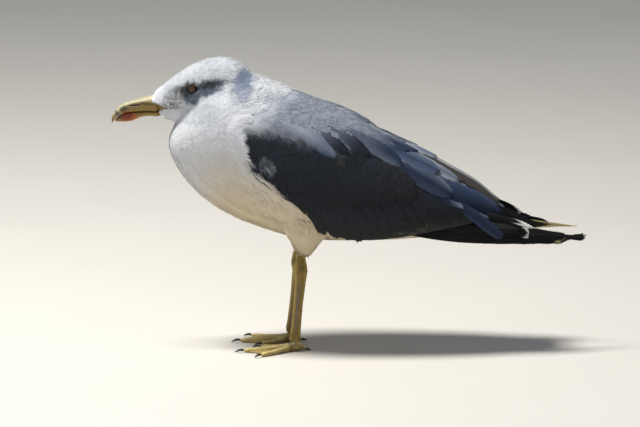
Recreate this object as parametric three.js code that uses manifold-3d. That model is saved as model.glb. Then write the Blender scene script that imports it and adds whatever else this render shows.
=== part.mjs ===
// A standing gull, life size, as a still museum model.
// Millimetres, +Z up. The bird faces -Y and its left side is +X.
// The soles stand on z = 0, and the origin lies under the middle of the bird's box.

import * as THREE from 'three';
import { mergeVertices } from 'three/addons/utils/BufferGeometryUtils.js';
import Module from 'manifold-3d';

// ---- driving dimensions -------------------------------------------------

const GAP = 0.3; // clearance between neighbouring pieces
const LENGTH = 520; // bill tip to wing tip
const HALF_LENGTH = LENGTH / 2;
const FAR_OUT = 400; // half-size of the blocks that cut the bird apart
const MERGE_DISTANCE = 1e-3;

const EYE_RADIUS = 6;
const EYE_CENTRE = { side: 16.8, y: -171.4, z: 290.2 };

const STANCE = 26; // half the distance between the legs
const RIGHT_LEG_AHEAD = 4; // the right foot stands a little in front of the left
const HEEL_HEIGHT = 92;
const ANKLE_HEIGHT = 10;

const SKIN = { roughness: 0.55, metalness: 0 };
const PLUMAGE = { roughness: 0.9, metalness: 0 };

const materials = {
  whitePlumage: new THREE.MeshStandardMaterial({ color: 0xf1f1ee, ...PLUMAGE }),
  greyPlumage: new THREE.MeshStandardMaterial({ color: 0x6d7583, ...PLUMAGE }),
  blackQuills: new THREE.MeshStandardMaterial({ color: 0x191719, ...PLUMAGE }),
  bill: new THREE.MeshStandardMaterial({ color: 0xd0a63c, roughness: 0.35, metalness: 0 }),
  iris: new THREE.MeshStandardMaterial({ color: 0xd8b98a, roughness: 0.1, metalness: 0 }),
  legSkin: new THREE.MeshStandardMaterial({ color: 0xc79b34, ...SKIN }),
  claw: new THREE.MeshStandardMaterial({ color: 0x1d1a18, roughness: 0.4, metalness: 0 }),
};

// ---- solids -------------------------------------------------------------

const wasm = await Module();
wasm.setup();

// A closed three.js geometry as a solid with its faces pointing out.
function solidOf(geometry) {
  const bare = geometry.clone();
  bare.deleteAttribute('normal');
  bare.deleteAttribute('uv');
  const merged = mergeVertices(bare, MERGE_DISTANCE);
  const corners = new Uint32Array(merged.index.array);
  if (signedVolume(merged.attributes.position, corners) < 0) {
    for (let i = 0; i < corners.length; i += 3) {
      [corners[i], corners[i + 1]] = [corners[i + 1], corners[i]];
    }
  }
  const vertProperties = new Float32Array(merged.attributes.position.array);
  return new wasm.Manifold(new wasm.Mesh({ numProp: 3, vertProperties, triVerts: corners }));
}

function signedVolume(position, corners) {
  const a = new THREE.Vector3();
  const b = new THREE.Vector3();
  const c = new THREE.Vector3();
  let volume = 0;
  for (let i = 0; i < corners.length; i += 3) {
    a.fromBufferAttribute(position, corners[i]);
    b.fromBufferAttribute(position, corners[i + 1]);
    c.fromBufferAttribute(position, corners[i + 2]);
    volume += a.dot(b.cross(c)) / 6;
  }
  return volume;
}

function joined(solids) {
  return solids.reduce((whole, next) => whole.add(next));
}

function cutBy(solid, cutters) {
  return cutters.reduce((rest, cutter) => rest.subtract(cutter), solid);
}

// The biggest of the pieces that cutting has left.
function mainPiece(solid) {
  const pieces = solid.decompose();
  return pieces.reduce((best, next) => (next.volume() > best.volume() ? next : best));
}

// ---- surfaces -----------------------------------------------------------

// A closed skin with its own rings: pointAt(along, around) places each vertex of a sphere,
// with along from 0 at one pole to 1 at the other and around in radians.
function skinOf(sides, steps, pointAt) {
  const geometry = new THREE.SphereGeometry(1, sides, steps);
  const position = geometry.attributes.position;
  for (let i = 0; i < position.count; i += 1) {
    const row = Math.floor(i / (sides + 1));
    const column = (i % (sides + 1)) % sides;
    const point = pointAt(row / steps, (column / sides) * 2 * Math.PI);
    position.setXYZ(i, point.x, point.y, point.z);
  }
  return solidOf(geometry);
}

function signedPower(value, power) {
  return Math.sign(value) * Math.abs(value) ** power;
}

// A form that is alike on both sides, such as a trunk, from sections that each run from a
// point on the upper outline to a point on the lower one, with a half width between them.
// grow swells it on every side, and fullness below 1 squares its sections.
function bilateral(sections, { sides = 20, steps = 24, grow = 0, fullness = [1, 1, 1] } = {}) {
  const upper = new THREE.CatmullRomCurve3(
    sections.map(({ top, half }) => new THREE.Vector3(half, top[0], top[1])));
  const lower = new THREE.CatmullRomCurve3(
    sections.map(({ bottom, half }) => new THREE.Vector3(half, bottom[0], bottom[1])));
  const [above, below, beside] = fullness;
  return skinOf(sides, steps, (along, around) => {
    const top = upper.getPoint(along);
    const bottom = lower.getPoint(along);
    const half = Math.max(top.x, 0);
    top.x = 0;
    bottom.x = 0;
    const centre = top.clone().add(bottom).multiplyScalar(0.5);
    const rise = top.clone().sub(bottom).multiplyScalar(0.5);
    if (half < MERGE_DISTANCE) {
      return centre; // a pole
    }
    const swell = 1 + grow / rise.length();
    const height = signedPower(Math.cos(around), Math.cos(around) > 0 ? above : below);
    const point = centre.addScaledVector(rise, height * swell);
    point.x = signedPower(Math.sin(around), beside) * (half + grow);
    return point;
  });
}

// How far a limb's section has opened, from nothing at each end to full past the caps.
function openness(along, startCap, endCap) {
  const start = Math.min(1, along / startCap);
  const end = Math.min(1, (1 - along) / endCap);
  return Math.sqrt(1 - (1 - start) ** 2) * Math.sqrt(1 - (1 - end) ** 2);
}

// A form swept along a curve. Each stop has its place at, its radius wide along the
// direction across, and its radius thick at right angles to that.
function swept(stops, across, { sides = 12, steps = 14, grow = 0, caps = [0.08, 0.08] } = {}) {
  const path = new THREE.CatmullRomCurve3(stops.map(({ at }) => new THREE.Vector3(...at)));
  const radii = new THREE.CatmullRomCurve3(
    stops.map(({ wide, thick }, i) => new THREE.Vector3(wide, thick, i)));
  return skinOf(sides, steps, (step, around) => {
    const along = (1 - Math.cos(step * Math.PI)) / 2;
    const tangent = path.getTangent(along);
    const side = across.clone().addScaledVector(tangent, -across.dot(tangent)).normalize();
    const face = tangent.clone().cross(side);
    const radius = radii.getPoint(along);
    const open = openness(along, ...caps);
    return path.getPoint(along)
      .addScaledVector(side, Math.cos(around) * (radius.x + grow) * open)
      .addScaledVector(face, Math.sin(around) * (radius.y + grow) * open);
  });
}

// ---- cutting blocks -----------------------------------------------------

// Everything on the far side of a plane that runs across the bird through two points of its
// side view, from the lower outline up to the upper one. shift moves the plane to its front.
function frontOf(lowPoint, highPoint, shift) {
  const block = new THREE.BoxGeometry(2 * FAR_OUT, 2 * FAR_OUT, 2 * FAR_OUT);
  const lean = Math.atan2(highPoint[0] - lowPoint[0], highPoint[1] - lowPoint[1]);
  block.translate(0, -FAR_OUT - shift, 0);
  block.rotateX(-lean);
  block.translate(0, lowPoint[0], lowPoint[1]);
  return solidOf(block);
}

function leftHalf(clearance) {
  const block = new THREE.BoxGeometry(FAR_OUT, 2 * FAR_OUT, 2 * FAR_OUT);
  block.translate(FAR_OUT / 2 + clearance, 0, 0);
  return solidOf(block);
}

function aboveFloor() {
  const block = new THREE.BoxGeometry(2 * FAR_OUT, 2 * FAR_OUT, FAR_OUT);
  block.translate(0, 0, FAR_OUT / 2);
  return solidOf(block);
}

function mirrored(solid) {
  return solid.mirror([1, 0, 0]);
}

// ---- head, neck and trunk -----------------------------------------------

// Points of these outlines are [y, z] in the side view.
const HEAD_SECTIONS = [
  { top: [-219, 271], bottom: [-219, 271], half: 0 },
  { top: [-214, 283], bottom: [-212, 259], half: 9.5 }, // feathering round the bill
  { top: [-204, 292], bottom: [-201, 255], half: 14.5 }, // lores
  { top: [-187, 305.5], bottom: [-188, 250.5], half: 19.5 }, // eyes
  { top: [-167, 317.5], bottom: [-169, 247], half: 23.5 },
  { top: [-144, 323.5], bottom: [-149, 245], half: 26 }, // crown
  { top: [-124, 321], bottom: [-130, 247], half: 26.5 },
  { top: [-110, 311], bottom: [-116, 256], half: 24 }, // nape
  { top: [-101, 297], bottom: [-106, 270], half: 15 },
  { top: [-98, 284], bottom: [-98, 284], half: 0 },
];

const BODY_SECTIONS = [
  { top: [-150, 285], bottom: [-150, 285], half: 0 }, // inside the head
  { top: [-124, 312], bottom: [-184, 253], half: 24 },
  { top: [-104, 305.5], bottom: [-193, 245], half: 36 }, // throat
  { top: [-88, 300], bottom: [-198, 230], half: 47 },
  { top: [-66, 290.5], bottom: [-194, 212], half: 54 }, // breast
  { top: [-40, 279], bottom: [-180, 188], half: 59 },
  { top: [-12, 270.5], bottom: [-158.5, 166], half: 61 },
  { top: [18, 256], bottom: [-130, 147.5], half: 61 },
  { top: [46, 232], bottom: [-95, 133.5], half: 58 }, // belly
  { top: [70, 206], bottom: [-54, 122], half: 52 },
  { top: [92, 184], bottom: [-4, 120], half: 44 }, // vent
  { top: [112, 166], bottom: [48, 121], half: 33 },
  { top: [128, 153], bottom: [90, 125], half: 21 }, // rump
  { top: [132, 140], bottom: [132, 140], half: 0 },
];

const FOLDED_WING_SECTIONS = [
  { top: [-150, 285], bottom: [-150, 285], half: 0 },
  { top: [-124, 312.5], bottom: [-184, 252.5], half: 25 },
  { top: [-104, 306], bottom: [-193, 244.5], half: 37 },
  { top: [-88, 300.5], bottom: [-198.5, 229], half: 48 },
  { top: [-66, 291], bottom: [-195, 211], half: 56 },
  { top: [-40, 280], bottom: [-182, 185], half: 62.5 },
  { top: [-12, 271.5], bottom: [-161, 159], half: 66.5 },
  { top: [18, 257.5], bottom: [-134, 135], half: 68.5 },
  { top: [46, 238], bottom: [-92, 114], half: 68.5 }, // scapulars
  { top: [80, 222], bottom: [-34, 102], half: 66 },
  { top: [112, 203], bottom: [28, 99], half: 60 }, // tertials
  { top: [142, 185.5], bottom: [84, 103], half: 51 },
  { top: [162, 167], bottom: [130, 113], half: 38 },
  { top: [174, 158], bottom: [164, 128], half: 21 },
  { top: [179, 146], bottom: [179, 146], half: 0 },
];

const BODY_MESH = { steps: 20 };
const WING_MESH = { steps: 24 };
const COVERT_DEPTH = 11; // how thick the folded wing lies on the body

const wingOutline = new THREE.Shape([
  new THREE.Vector2(-127, 250), // wrist, under the breast feathers
  new THREE.Vector2(-119, 227),
  new THREE.Vector2(-112, 208),
  new THREE.Vector2(-92, 195),
  new THREE.Vector2(-56, 167),
  new THREE.Vector2(-20, 131),
  new THREE.Vector2(-4, 127),
  new THREE.Vector2(30, 126), // lower edge over the flank
  new THREE.Vector2(66, 130),
  new THREE.Vector2(110, 138),
  new THREE.Vector2(150, 145),
  new THREE.Vector2(182, 149), // tip of the longest tertial
  new THREE.Vector2(182, 190),
  new THREE.Vector2(110, 225),
  new THREE.Vector2(50, 250),
  new THREE.Vector2(38, 238), // edge of the mantle
  new THREE.Vector2(8, 253),
  new THREE.Vector2(-30, 268),
  new THREE.Vector2(-70, 278),
  new THREE.Vector2(-105, 272),
  new THREE.Vector2(-121, 262),
]);

// The same sections drawn in by a depth, and left open below.
function drawnIn(sections, depth) {
  return sections.map(({ top, bottom, half }) => {
    const height = Math.hypot(top[0] - bottom[0], top[1] - bottom[1]);
    if (height < 2 * depth) {
      return { top: bottom, bottom, half: 0 };
    }
    const share = depth / height;
    return {
      top: top.map((value, i) => value + (bottom[i] - value) * share),
      bottom,
      half: half - depth,
    };
  });
}

function thickened(shape, depth) {
  const geometry = new THREE.ExtrudeGeometry(shape, { depth, bevelEnabled: false });
  // the shape's own x and y become the bird's y and z, and it is extruded along x
  geometry.applyMatrix4(new THREE.Matrix4().set(0, 0, 1, 0, 1, 0, 0, 0, 0, 1, 0, 0, 0, 0, 0, 1));
  return solidOf(geometry);
}

// A shape scaled about the middle of its box, so that it gains margin on each side.
function widened(shape, margin) {
  const points = shape.getPoints();
  const box = new THREE.Box2().setFromPoints(points);
  const middle = box.getCenter(new THREE.Vector2());
  const size = box.getSize(new THREE.Vector2());
  const scale = size.clone().addScalar(2 * margin).divide(size);
  return new THREE.Shape(points.map((point) => point.sub(middle).multiply(scale).add(middle)));
}

function foldedWing(grow) {
  const outside = bilateral(FOLDED_WING_SECTIONS, { ...WING_MESH, grow });
  const inside = bilateral(drawnIn(FOLDED_WING_SECTIONS, COVERT_DEPTH), { ...WING_MESH, grow: -grow });
  const side = thickened(widened(wingOutline, grow), FAR_OUT);
  return mainPiece(outside.subtract(inside).intersect(side).intersect(leftHalf(GAP / 2 - grow)));
}

// ---- bill ---------------------------------------------------------------

const UPPER_BILL_SECTIONS = [
  { top: [-204, 270], bottom: [-204, 270], half: 0 }, // root, inside the head
  { top: [-209, 281], bottom: [-208, 263.4], half: 8.6 },
  { top: [-222, 279.2], bottom: [-221, 263.3], half: 7.6 },
  { top: [-234, 276], bottom: [-233, 262.9], half: 6.4 },
  { top: [-245, 272.6], bottom: [-243, 261.9], half: 5.4 },
  { top: [-253, 267.2], bottom: [-250.5, 259.6], half: 4.4 },
  { top: [-258.2, 260.5], bottom: [-255.5, 256.6], half: 3.1 }, // hook
  { top: [-260, 254.2], bottom: [-257.6, 253], half: 1.6 },
  { top: [-259.6, 250], bottom: [-259.6, 250], half: 0 },
];

const LOWER_BILL_SECTIONS = [
  { top: [-204, 261], bottom: [-204, 261], half: 0 },
  { top: [-208, 262.9], bottom: [-208, 257.6], half: 7.8 },
  { top: [-221, 262.8], bottom: [-220, 258.2], half: 6.6 },
  { top: [-231, 262.4], bottom: [-229, 256.4], half: 5.4 },
  { top: [-240, 261.6], bottom: [-238, 252.4], half: 4.6 }, // the angle under the bill
  { top: [-248, 259.8], bottom: [-248, 251.4], half: 3.6 },
  { top: [-253.8, 256.6], bottom: [-254.5, 251.8], half: 2.2 },
  { top: [-256.8, 252.6], bottom: [-256.8, 252.6], half: 0 },
];

const BILL_MESH = { sides: 12, steps: 12 };

function upperBill(grow) {
  return bilateral(UPPER_BILL_SECTIONS, { ...BILL_MESH, grow, fullness: [1, 0.3, 0.9] });
}

function lowerBill(grow) {
  return bilateral(LOWER_BILL_SECTIONS, { ...BILL_MESH, grow, fullness: [0.3, 1, 0.9] });
}

// ---- eyes ---------------------------------------------------------------

function leftEye(grow) {
  const ball = new THREE.SphereGeometry(EYE_RADIUS + grow, 12, 8);
  ball.translate(EYE_CENTRE.side, EYE_CENTRE.y, EYE_CENTRE.z);
  return solidOf(ball);
}

// ---- flight feathers ----------------------------------------------------

const VANE = { root: 0.7, tip: 0.75, tipThickness: 0.7 }; // shares of the full width and thickness
const VANE_MESH = { sides: 6, steps: 5, caps: [0.05, 0.14] };

// One feather from root to tip: it is widest past its middle and rounds off at its end.
function feather({ root, bend, tip, across, width, thickness, grow }) {
  const wide = width / 2;
  const thick = thickness / 2;
  const stops = [
    { at: root, wide: wide * VANE.root, thick },
    { at: bend, wide, thick },
    { at: tip, wide: wide * VANE.tip, thick: thick * VANE.tipThickness },
  ];
  return swept(stops, across, { ...VANE_MESH, grow });
}

// The fan of long feathers that shows behind the folded wing. Each step goes to the next
// feather in, which lies higher and nearer the middle.
const PRIMARY = {
  width: 17,
  thickness: 2,
  root: [42.5, 84, 135],
  rootStep: [-1.6, 0, 2.6],
  bend: [36, 158, 129],
  bendStep: [-1.8, 0, 2.8],
  tipSide: 11,
  tipSideStep: -0.5,
};
const PRIMARY_TIPS = [ // outermost first: how far its tip stops short, and how high it lies
  { short: 0, z: 124.5 },
  { short: 14, z: 126.5 },
  { short: 34, z: 129 },
  { short: 56, z: 132.5 },
  { short: 70, z: 138 },
];
const PRIMARY_LEAN = new THREE.Vector3(-0.45, 0, 0.9); // vanes lean in over the tail

// Built on the left. A lift raises the tips, and half as much the bends.
function primaries({ reach, lift }, grow) {
  return joined(PRIMARY_TIPS.map(({ short, z }, i) => {
    const root = PRIMARY.root.map((value, axis) => value + PRIMARY.rootStep[axis] * i);
    const bend = PRIMARY.bend.map((value, axis) => value + PRIMARY.bendStep[axis] * i);
    bend[2] += lift / 2;
    const tip = [PRIMARY.tipSide + PRIMARY.tipSideStep * i, reach - short, z + lift];
    return feather({ ...PRIMARY, root, bend, tip, across: PRIMARY_LEAN, grow });
  }));
}

// The tail's middle feather, and how each pair further out steps aside and down.
const TAIL_PAIRS = 3;
const TAIL = {
  width: 13,
  thickness: 2.6,
  root: { y: 96, z: 137, aside: 4, drop: 0.8 },
  bend: { y: 140, z: 132, aside: 5.6, drop: 1.1 },
  tip: { y: 180, z: 127.5, aside: 6.6, drop: 1.3 },
  tilt: 0.12,
};

function tailFan(grow) {
  const place = ({ y, z, aside, drop }, i) => [aside * i, y, z - drop * Math.abs(i)];
  const feathers = [];
  for (let i = -TAIL_PAIRS; i <= TAIL_PAIRS; i += 1) {
    feathers.push(feather({
      ...TAIL,
      root: place(TAIL.root, i),
      bend: place(TAIL.bend, i),
      tip: place(TAIL.tip, i),
      across: new THREE.Vector3(1, 0, -TAIL.tilt * i),
      grow,
    }));
  }
  return joined(feathers);
}

// ---- legs and feet, built on the left -----------------------------------

const KNEE_Y = -53; // where the bare leg leaves the feathers
const ANKLE_Y = -60;

// Stops down a leg: how far it stands out from the stance, its y, its height, and what share
// of a foot's step ahead it follows.
const THIGH_STOPS = [
  { out: 3, y: KNEE_Y + 7, z: 160, follow: 0.3, wide: 22, thick: 30 },
  { out: 2, y: KNEE_Y + 6, z: 136, follow: 0.4, wide: 20, thick: 25 },
  { out: 0, y: KNEE_Y + 4, z: 119, follow: 0.5, wide: 11.5, thick: 14.5 },
  { out: 0, y: KNEE_Y + 0.5, z: 106, follow: 0.5, wide: 6.5, thick: 7.2 },
];
const SHANK_STOPS = [
  { out: 0, y: KNEE_Y + 1, z: 122, follow: 0.5, wide: 4.2, thick: 5 },
  { out: 0, y: KNEE_Y, z: HEEL_HEIGHT + 8, follow: 0.6, wide: 4.4, thick: 5.6 },
  { out: 0, y: KNEE_Y, z: HEEL_HEIGHT, follow: 0.7, wide: 5.8, thick: 8 }, // heel joint
  { out: 0, y: KNEE_Y, z: HEEL_HEIGHT - 12, follow: 0.75, wide: 4.2, thick: 6.2 },
  { out: 0, y: KNEE_Y - 3, z: 50, follow: 0.85, wide: 3.6, thick: 5.2 },
  { out: 0, y: ANKLE_Y + 2, z: 26, follow: 1, wide: 3.8, thick: 5.4 },
  { out: 0, y: ANKLE_Y, z: ANKLE_HEIGHT, follow: 1, wide: 5, thick: 6.6 },
];

function limb(stops, ahead, mesh) {
  const placed = stops.map(({ out, y, z, follow, wide, thick }) => (
    { at: [STANCE + out, y - ahead * follow, z], wide, thick }));
  return swept(placed, new THREE.Vector3(1, 0, 0), mesh);
}

function thigh(ahead) {
  return limb(THIGH_STOPS, ahead, { sides: 12, steps: 9, caps: [0.1, 0.06] });
}

function shank(ahead, grow) {
  return limb(SHANK_STOPS, ahead, { sides: 10, steps: 12, grow, caps: [0.04, 0.04] });
}

// Toes from the ankle: heading, reach, radius, heights of the centre line at its stops (low
// enough at the end for a flat sole), and the claw's length and root height.
const FRONT_RISE = [6.5, 3.4, 2.3];
const FRONT_CLAW = { length: 8.5, root: 3.1 };
const TOES = [
  { name: 'inner', turn: -30, reach: 41, radius: 2.7, rise: FRONT_RISE, claw: FRONT_CLAW },
  { name: 'middle', turn: 0, reach: 58, radius: 3.1, rise: FRONT_RISE, claw: FRONT_CLAW },
  { name: 'outer', turn: 34, reach: 52, radius: 2.8, rise: FRONT_RISE, claw: FRONT_CLAW },
  { name: 'hind', turn: 172, reach: 13, radius: 2, rise: [9, 6, 1.4], claw: { length: 6, root: 2.2 } },
];
const TOE_BEND = 0.4; // share of its reach where a toe levels out
const CLAW_OVERLAP = 2.5; // how far a claw's root sits inside the toe
const CLAW_RADIUS = 1.3;
const CLAW_POINT = { radius: 0.5, z: 0.9 };
const BALL = { radii: [6, 7.6, 6.2], back: 1, z: 5.4 }; // of the foot, under the ankle

// A point of the foot: so far out from the ankle along a toe's heading, at a height.
function footPoint(foot, toe, distance, height) {
  const heading = THREE.MathUtils.degToRad(foot.turn + toe.turn);
  return [
    STANCE + Math.sin(heading) * distance,
    ANKLE_Y - foot.ahead - Math.cos(heading) * distance,
    height,
  ];
}

function headingAcross(foot, toe) {
  const heading = THREE.MathUtils.degToRad(foot.turn + toe.turn);
  return new THREE.Vector3(Math.cos(heading), Math.sin(heading), 0);
}

function toeSolid(foot, toe, grow) {
  const { radius, reach, rise } = toe;
  const stops = [
    { at: footPoint(foot, toe, 0, rise[0]), wide: radius + 0.6, thick: radius + 0.8 },
    { at: footPoint(foot, toe, reach * TOE_BEND, rise[1]), wide: radius, thick: radius },
    { at: footPoint(foot, toe, reach, rise[2]), wide: radius * 0.8, thick: radius * 0.85 },
  ];
  return swept(stops, headingAcross(foot, toe), { sides: 8, steps: 5, grow, caps: [0.05, 0.06] });
}

function claw(foot, toe) {
  const { length, root } = toe.claw;
  const start = toe.reach - CLAW_OVERLAP;
  const body = { wide: CLAW_RADIUS, thick: CLAW_RADIUS + 0.1 };
  const stops = [
    { at: footPoint(foot, toe, start, root), ...body },
    { at: footPoint(foot, toe, start + length * 0.6, root + 0.3), ...body }, // arched
    {
      at: footPoint(foot, toe, toe.reach + length, CLAW_POINT.z),
      wide: CLAW_POINT.radius,
      thick: CLAW_POINT.radius,
    },
  ];
  return swept(stops, headingAcross(foot, toe), { sides: 5, steps: 4, caps: [0.05, 0.1] });
}

const WEB_TOP = 1.8;
const WEB_BOTTOM = 0.3;
const WEB_SHORT = 4; // how far behind a toe's end its web starts
const WEB_HOLLOW = 0.28; // how deep its front edge curves back to the heel

// The web runs from toe to toe, and its front edge curves in between them.
function web(foot) {
  const flatPoint = (toe, distance) => {
    const [x, y] = footPoint(foot, toe, distance, 0);
    return new THREE.Vector2(x, y);
  };
  const [inner, middle, outer] = TOES.map((toe) => flatPoint(toe, toe.reach - WEB_SHORT));
  const heel = flatPoint(TOES[1], 0);
  const hollow = (a, b) => a.clone().add(b).multiplyScalar(0.5).lerp(heel, WEB_HOLLOW);
  const outline = new THREE.Shape();
  outline.moveTo(heel.x, heel.y);
  outline.lineTo(inner.x, inner.y);
  outline.quadraticCurveTo(...hollow(inner, middle).toArray(), middle.x, middle.y);
  outline.quadraticCurveTo(...hollow(middle, outer).toArray(), outer.x, outer.y);
  outline.closePath();
  const depth = WEB_TOP - WEB_BOTTOM;
  const sheet = new THREE.ExtrudeGeometry(outline, { depth, curveSegments: 3, bevelEnabled: false });
  sheet.translate(0, 0, WEB_BOTTOM);
  return solidOf(sheet);
}

function footSolid(foot) {
  const toes = TOES.map((toe) => toeSolid(foot, toe, 0));
  const ball = new THREE.SphereGeometry(1, 10, 6);
  ball.scale(...BALL.radii);
  ball.translate(STANCE, ANKLE_Y - foot.ahead + BALL.back, BALL.z);
  return joined([...toes, web(foot), solidOf(ball)]).intersect(aboveFloor());
}

// ---- assembly -----------------------------------------------------------

const NECK_CUT = { low: [-189, 250], high: [-99, 301] };
const TRUNK_CUT = { low: [-203, 222], high: [-62, 294] };
const RUMP_CUT = { low: [-8, 110], high: [66, 214] };
const FEET = {
  left: { turn: 10, ahead: 0 },
  right: { turn: -5, ahead: RIGHT_LEG_AHEAD },
};
const LEFT_WING_TIPS = { reach: HALF_LENGTH, lift: 0 };
const RIGHT_WING_TIPS = { reach: HALF_LENGTH - 8, lift: 9.5 }; // crossed over the left ones

const gull = new THREE.Group();

function addPiece(name, solid, material) {
  const { vertProperties, triVerts } = solid.getMesh();
  const geometry = new THREE.BufferGeometry();
  geometry.setAttribute('position', new THREE.BufferAttribute(vertProperties, 3));
  geometry.setIndex(new THREE.BufferAttribute(triVerts, 1));
  geometry.computeVertexNormals();
  const mesh = new THREE.Mesh(geometry, material);
  mesh.name = name;
  gull.add(mesh);
}

function between(whole, frontCut, backCut) {
  let piece = whole;
  if (frontCut) {
    piece = piece.subtract(frontOf(frontCut.low, frontCut.high, -GAP / 2));
  }
  if (backCut) {
    piece = piece.intersect(frontOf(backCut.low, backCut.high, GAP / 2));
  }
  return mainPiece(piece);
}

const wingRoom = foldedWing(GAP);
const bodyRoom = bilateral(BODY_SECTIONS, { ...BODY_MESH, grow: GAP });
const headForm = bilateral(HEAD_SECTIONS, { sides: 18, steps: 14 });
const bodyForm = bilateral(BODY_SECTIONS, BODY_MESH);

const flesh = cutBy(headForm.add(bodyForm), [
  wingRoom, mirrored(wingRoom),
  leftEye(GAP), mirrored(leftEye(GAP)),
  upperBill(GAP), lowerBill(GAP),
]);
addPiece('head', between(flesh, null, NECK_CUT), materials.whitePlumage);
addPiece('neck', between(flesh, NECK_CUT, TRUNK_CUT), materials.whitePlumage);
addPiece('trunk', between(flesh, TRUNK_CUT, RUMP_CUT), materials.whitePlumage);
addPiece('rump', between(flesh, RUMP_CUT, null), materials.whitePlumage);
addPiece('bill_upper', upperBill(0), materials.bill);
addPiece('bill_lower', mainPiece(lowerBill(0).subtract(upperBill(GAP))), materials.bill);
addPiece('eye_left', leftEye(0), materials.iris);
addPiece('eye_right', mirrored(leftEye(0)), materials.iris);

const tailRoom = tailFan(GAP);
const leftTipRoom = primaries(LEFT_WING_TIPS, GAP);
const tail = mainPiece(cutBy(tailFan(0), [bodyRoom, wingRoom, mirrored(wingRoom)]));
const leftTips = cutBy(primaries(LEFT_WING_TIPS, 0), [wingRoom, bodyRoom, tailRoom]);
const rightTips = cutBy(mirrored(primaries(RIGHT_WING_TIPS, 0)),
  [mirrored(wingRoom), bodyRoom, tailRoom, leftTipRoom]);
addPiece('tail', tail, materials.whitePlumage);
addPiece('wing_left', foldedWing(0), materials.greyPlumage);
addPiece('wing_right', mirrored(foldedWing(0)), materials.greyPlumage);
addPiece('primaries_left', mainPiece(leftTips), materials.blackQuills);
addPiece('primaries_right', mainPiece(rightTips), materials.blackQuills);

for (const [side, foot] of Object.entries(FEET)) {
  const place = side === 'left' ? (solid) => solid : mirrored;
  const legRoom = shank(foot.ahead, GAP);
  const thighPiece = mainPiece(cutBy(thigh(foot.ahead), [bodyRoom, legRoom]));
  addPiece(`thigh_${side}`, place(thighPiece), materials.whitePlumage);
  addPiece(`shank_${side}`, place(mainPiece(shank(foot.ahead, 0))), materials.legSkin);
  addPiece(`foot_${side}`, place(mainPiece(footSolid(foot).subtract(legRoom))), materials.legSkin);
  for (const toe of TOES) {
    const horn = mainPiece(claw(foot, toe).subtract(toeSolid(foot, toe, GAP)).intersect(aboveFloor()));
    addPiece(`claw_${toe.name}_${side}`, place(horn), materials.claw);
  }
}

export default gull;
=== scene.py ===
import itertools
import math

import bmesh
import bpy
import numpy as np
from mathutils import Matrix, Vector
from mathutils.bvhtree import BVHTree


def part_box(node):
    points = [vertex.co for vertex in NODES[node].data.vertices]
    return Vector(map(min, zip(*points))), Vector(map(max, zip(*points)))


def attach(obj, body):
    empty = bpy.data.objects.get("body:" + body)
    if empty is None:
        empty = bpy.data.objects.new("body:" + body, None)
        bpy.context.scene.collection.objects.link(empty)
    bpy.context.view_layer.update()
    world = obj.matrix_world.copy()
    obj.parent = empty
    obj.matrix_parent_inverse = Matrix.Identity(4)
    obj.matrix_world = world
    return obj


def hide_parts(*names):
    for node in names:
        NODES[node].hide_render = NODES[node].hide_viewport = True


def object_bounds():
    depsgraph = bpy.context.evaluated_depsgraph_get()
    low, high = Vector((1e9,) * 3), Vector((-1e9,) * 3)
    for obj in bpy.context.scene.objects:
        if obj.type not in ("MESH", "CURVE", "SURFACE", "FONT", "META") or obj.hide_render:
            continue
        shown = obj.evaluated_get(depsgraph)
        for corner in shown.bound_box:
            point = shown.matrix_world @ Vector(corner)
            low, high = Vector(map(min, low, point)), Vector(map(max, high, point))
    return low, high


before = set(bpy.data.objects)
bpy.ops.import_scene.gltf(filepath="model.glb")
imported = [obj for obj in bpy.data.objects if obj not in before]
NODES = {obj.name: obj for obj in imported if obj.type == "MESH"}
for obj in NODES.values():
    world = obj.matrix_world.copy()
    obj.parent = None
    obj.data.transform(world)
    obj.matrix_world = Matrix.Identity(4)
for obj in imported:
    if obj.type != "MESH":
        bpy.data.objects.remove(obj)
CAD_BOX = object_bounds()

# Lengths in this script are in millimetres, and MM turns them to metres. The bird faces -Y,
# its left side is +X, and its feet rest on Z = 0.
MM = 0.001
rng = np.random.default_rng(7)

SIDES = (("left", 1), ("right", -1))
FLESH = ["head", "neck", "trunk", "rump", "wing_left", "wing_right", "thigh_left", "thigh_right"]
LEGS = [f"{part}_{side}" for part in ("shank", "foot") for side, _ in SIDES]

# ---- small helpers ----------------------------------------------------------


def srgb(code):
    """A hex colour as linear red, green and blue."""
    shares = np.array([int(code[i : i + 2], 16) / 255 for i in (0, 2, 4)])
    return np.where(shares <= 0.04045, shares / 12.92, ((shares + 0.055) / 1.055) ** 2.4)


def rgba(code):
    return (*srgb(code), 1.0)


def unit(vectors):
    return vectors / np.maximum(np.linalg.norm(vectors, axis=-1, keepdims=True), 1e-9)


def ramp(low, high, values):
    """0 below low and 1 above high, with an even passage between."""
    share = np.clip((values - low) / (high - low), 0, 1)
    return share * share * (3 - 2 * share)


def mix(first, second, share):
    return first + (second - first) * np.asarray(share)[..., None]


DICE = rng.uniform(-1, 1, (4096, 3))
HASH = np.array([73856093, 19349663, 83492791])


def dice(cells):
    return DICE[(cells @ HASH) & 4095]


def mottle(places, cell, seed=0):
    """Soft noise from -1 to 1 in blotches about one cell across."""
    grid = places / cell + 17.3 * seed
    low = np.floor(grid).astype(np.int64)
    part = grid - low
    part = part * part * (3 - 2 * part)
    total = np.zeros(len(places))
    for corner in itertools.product((0, 1), repeat=3):
        share = np.where(corner, part, 1 - part).prod(axis=1)
        total += dice(low + corner)[:, 0] * share
    return total


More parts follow.
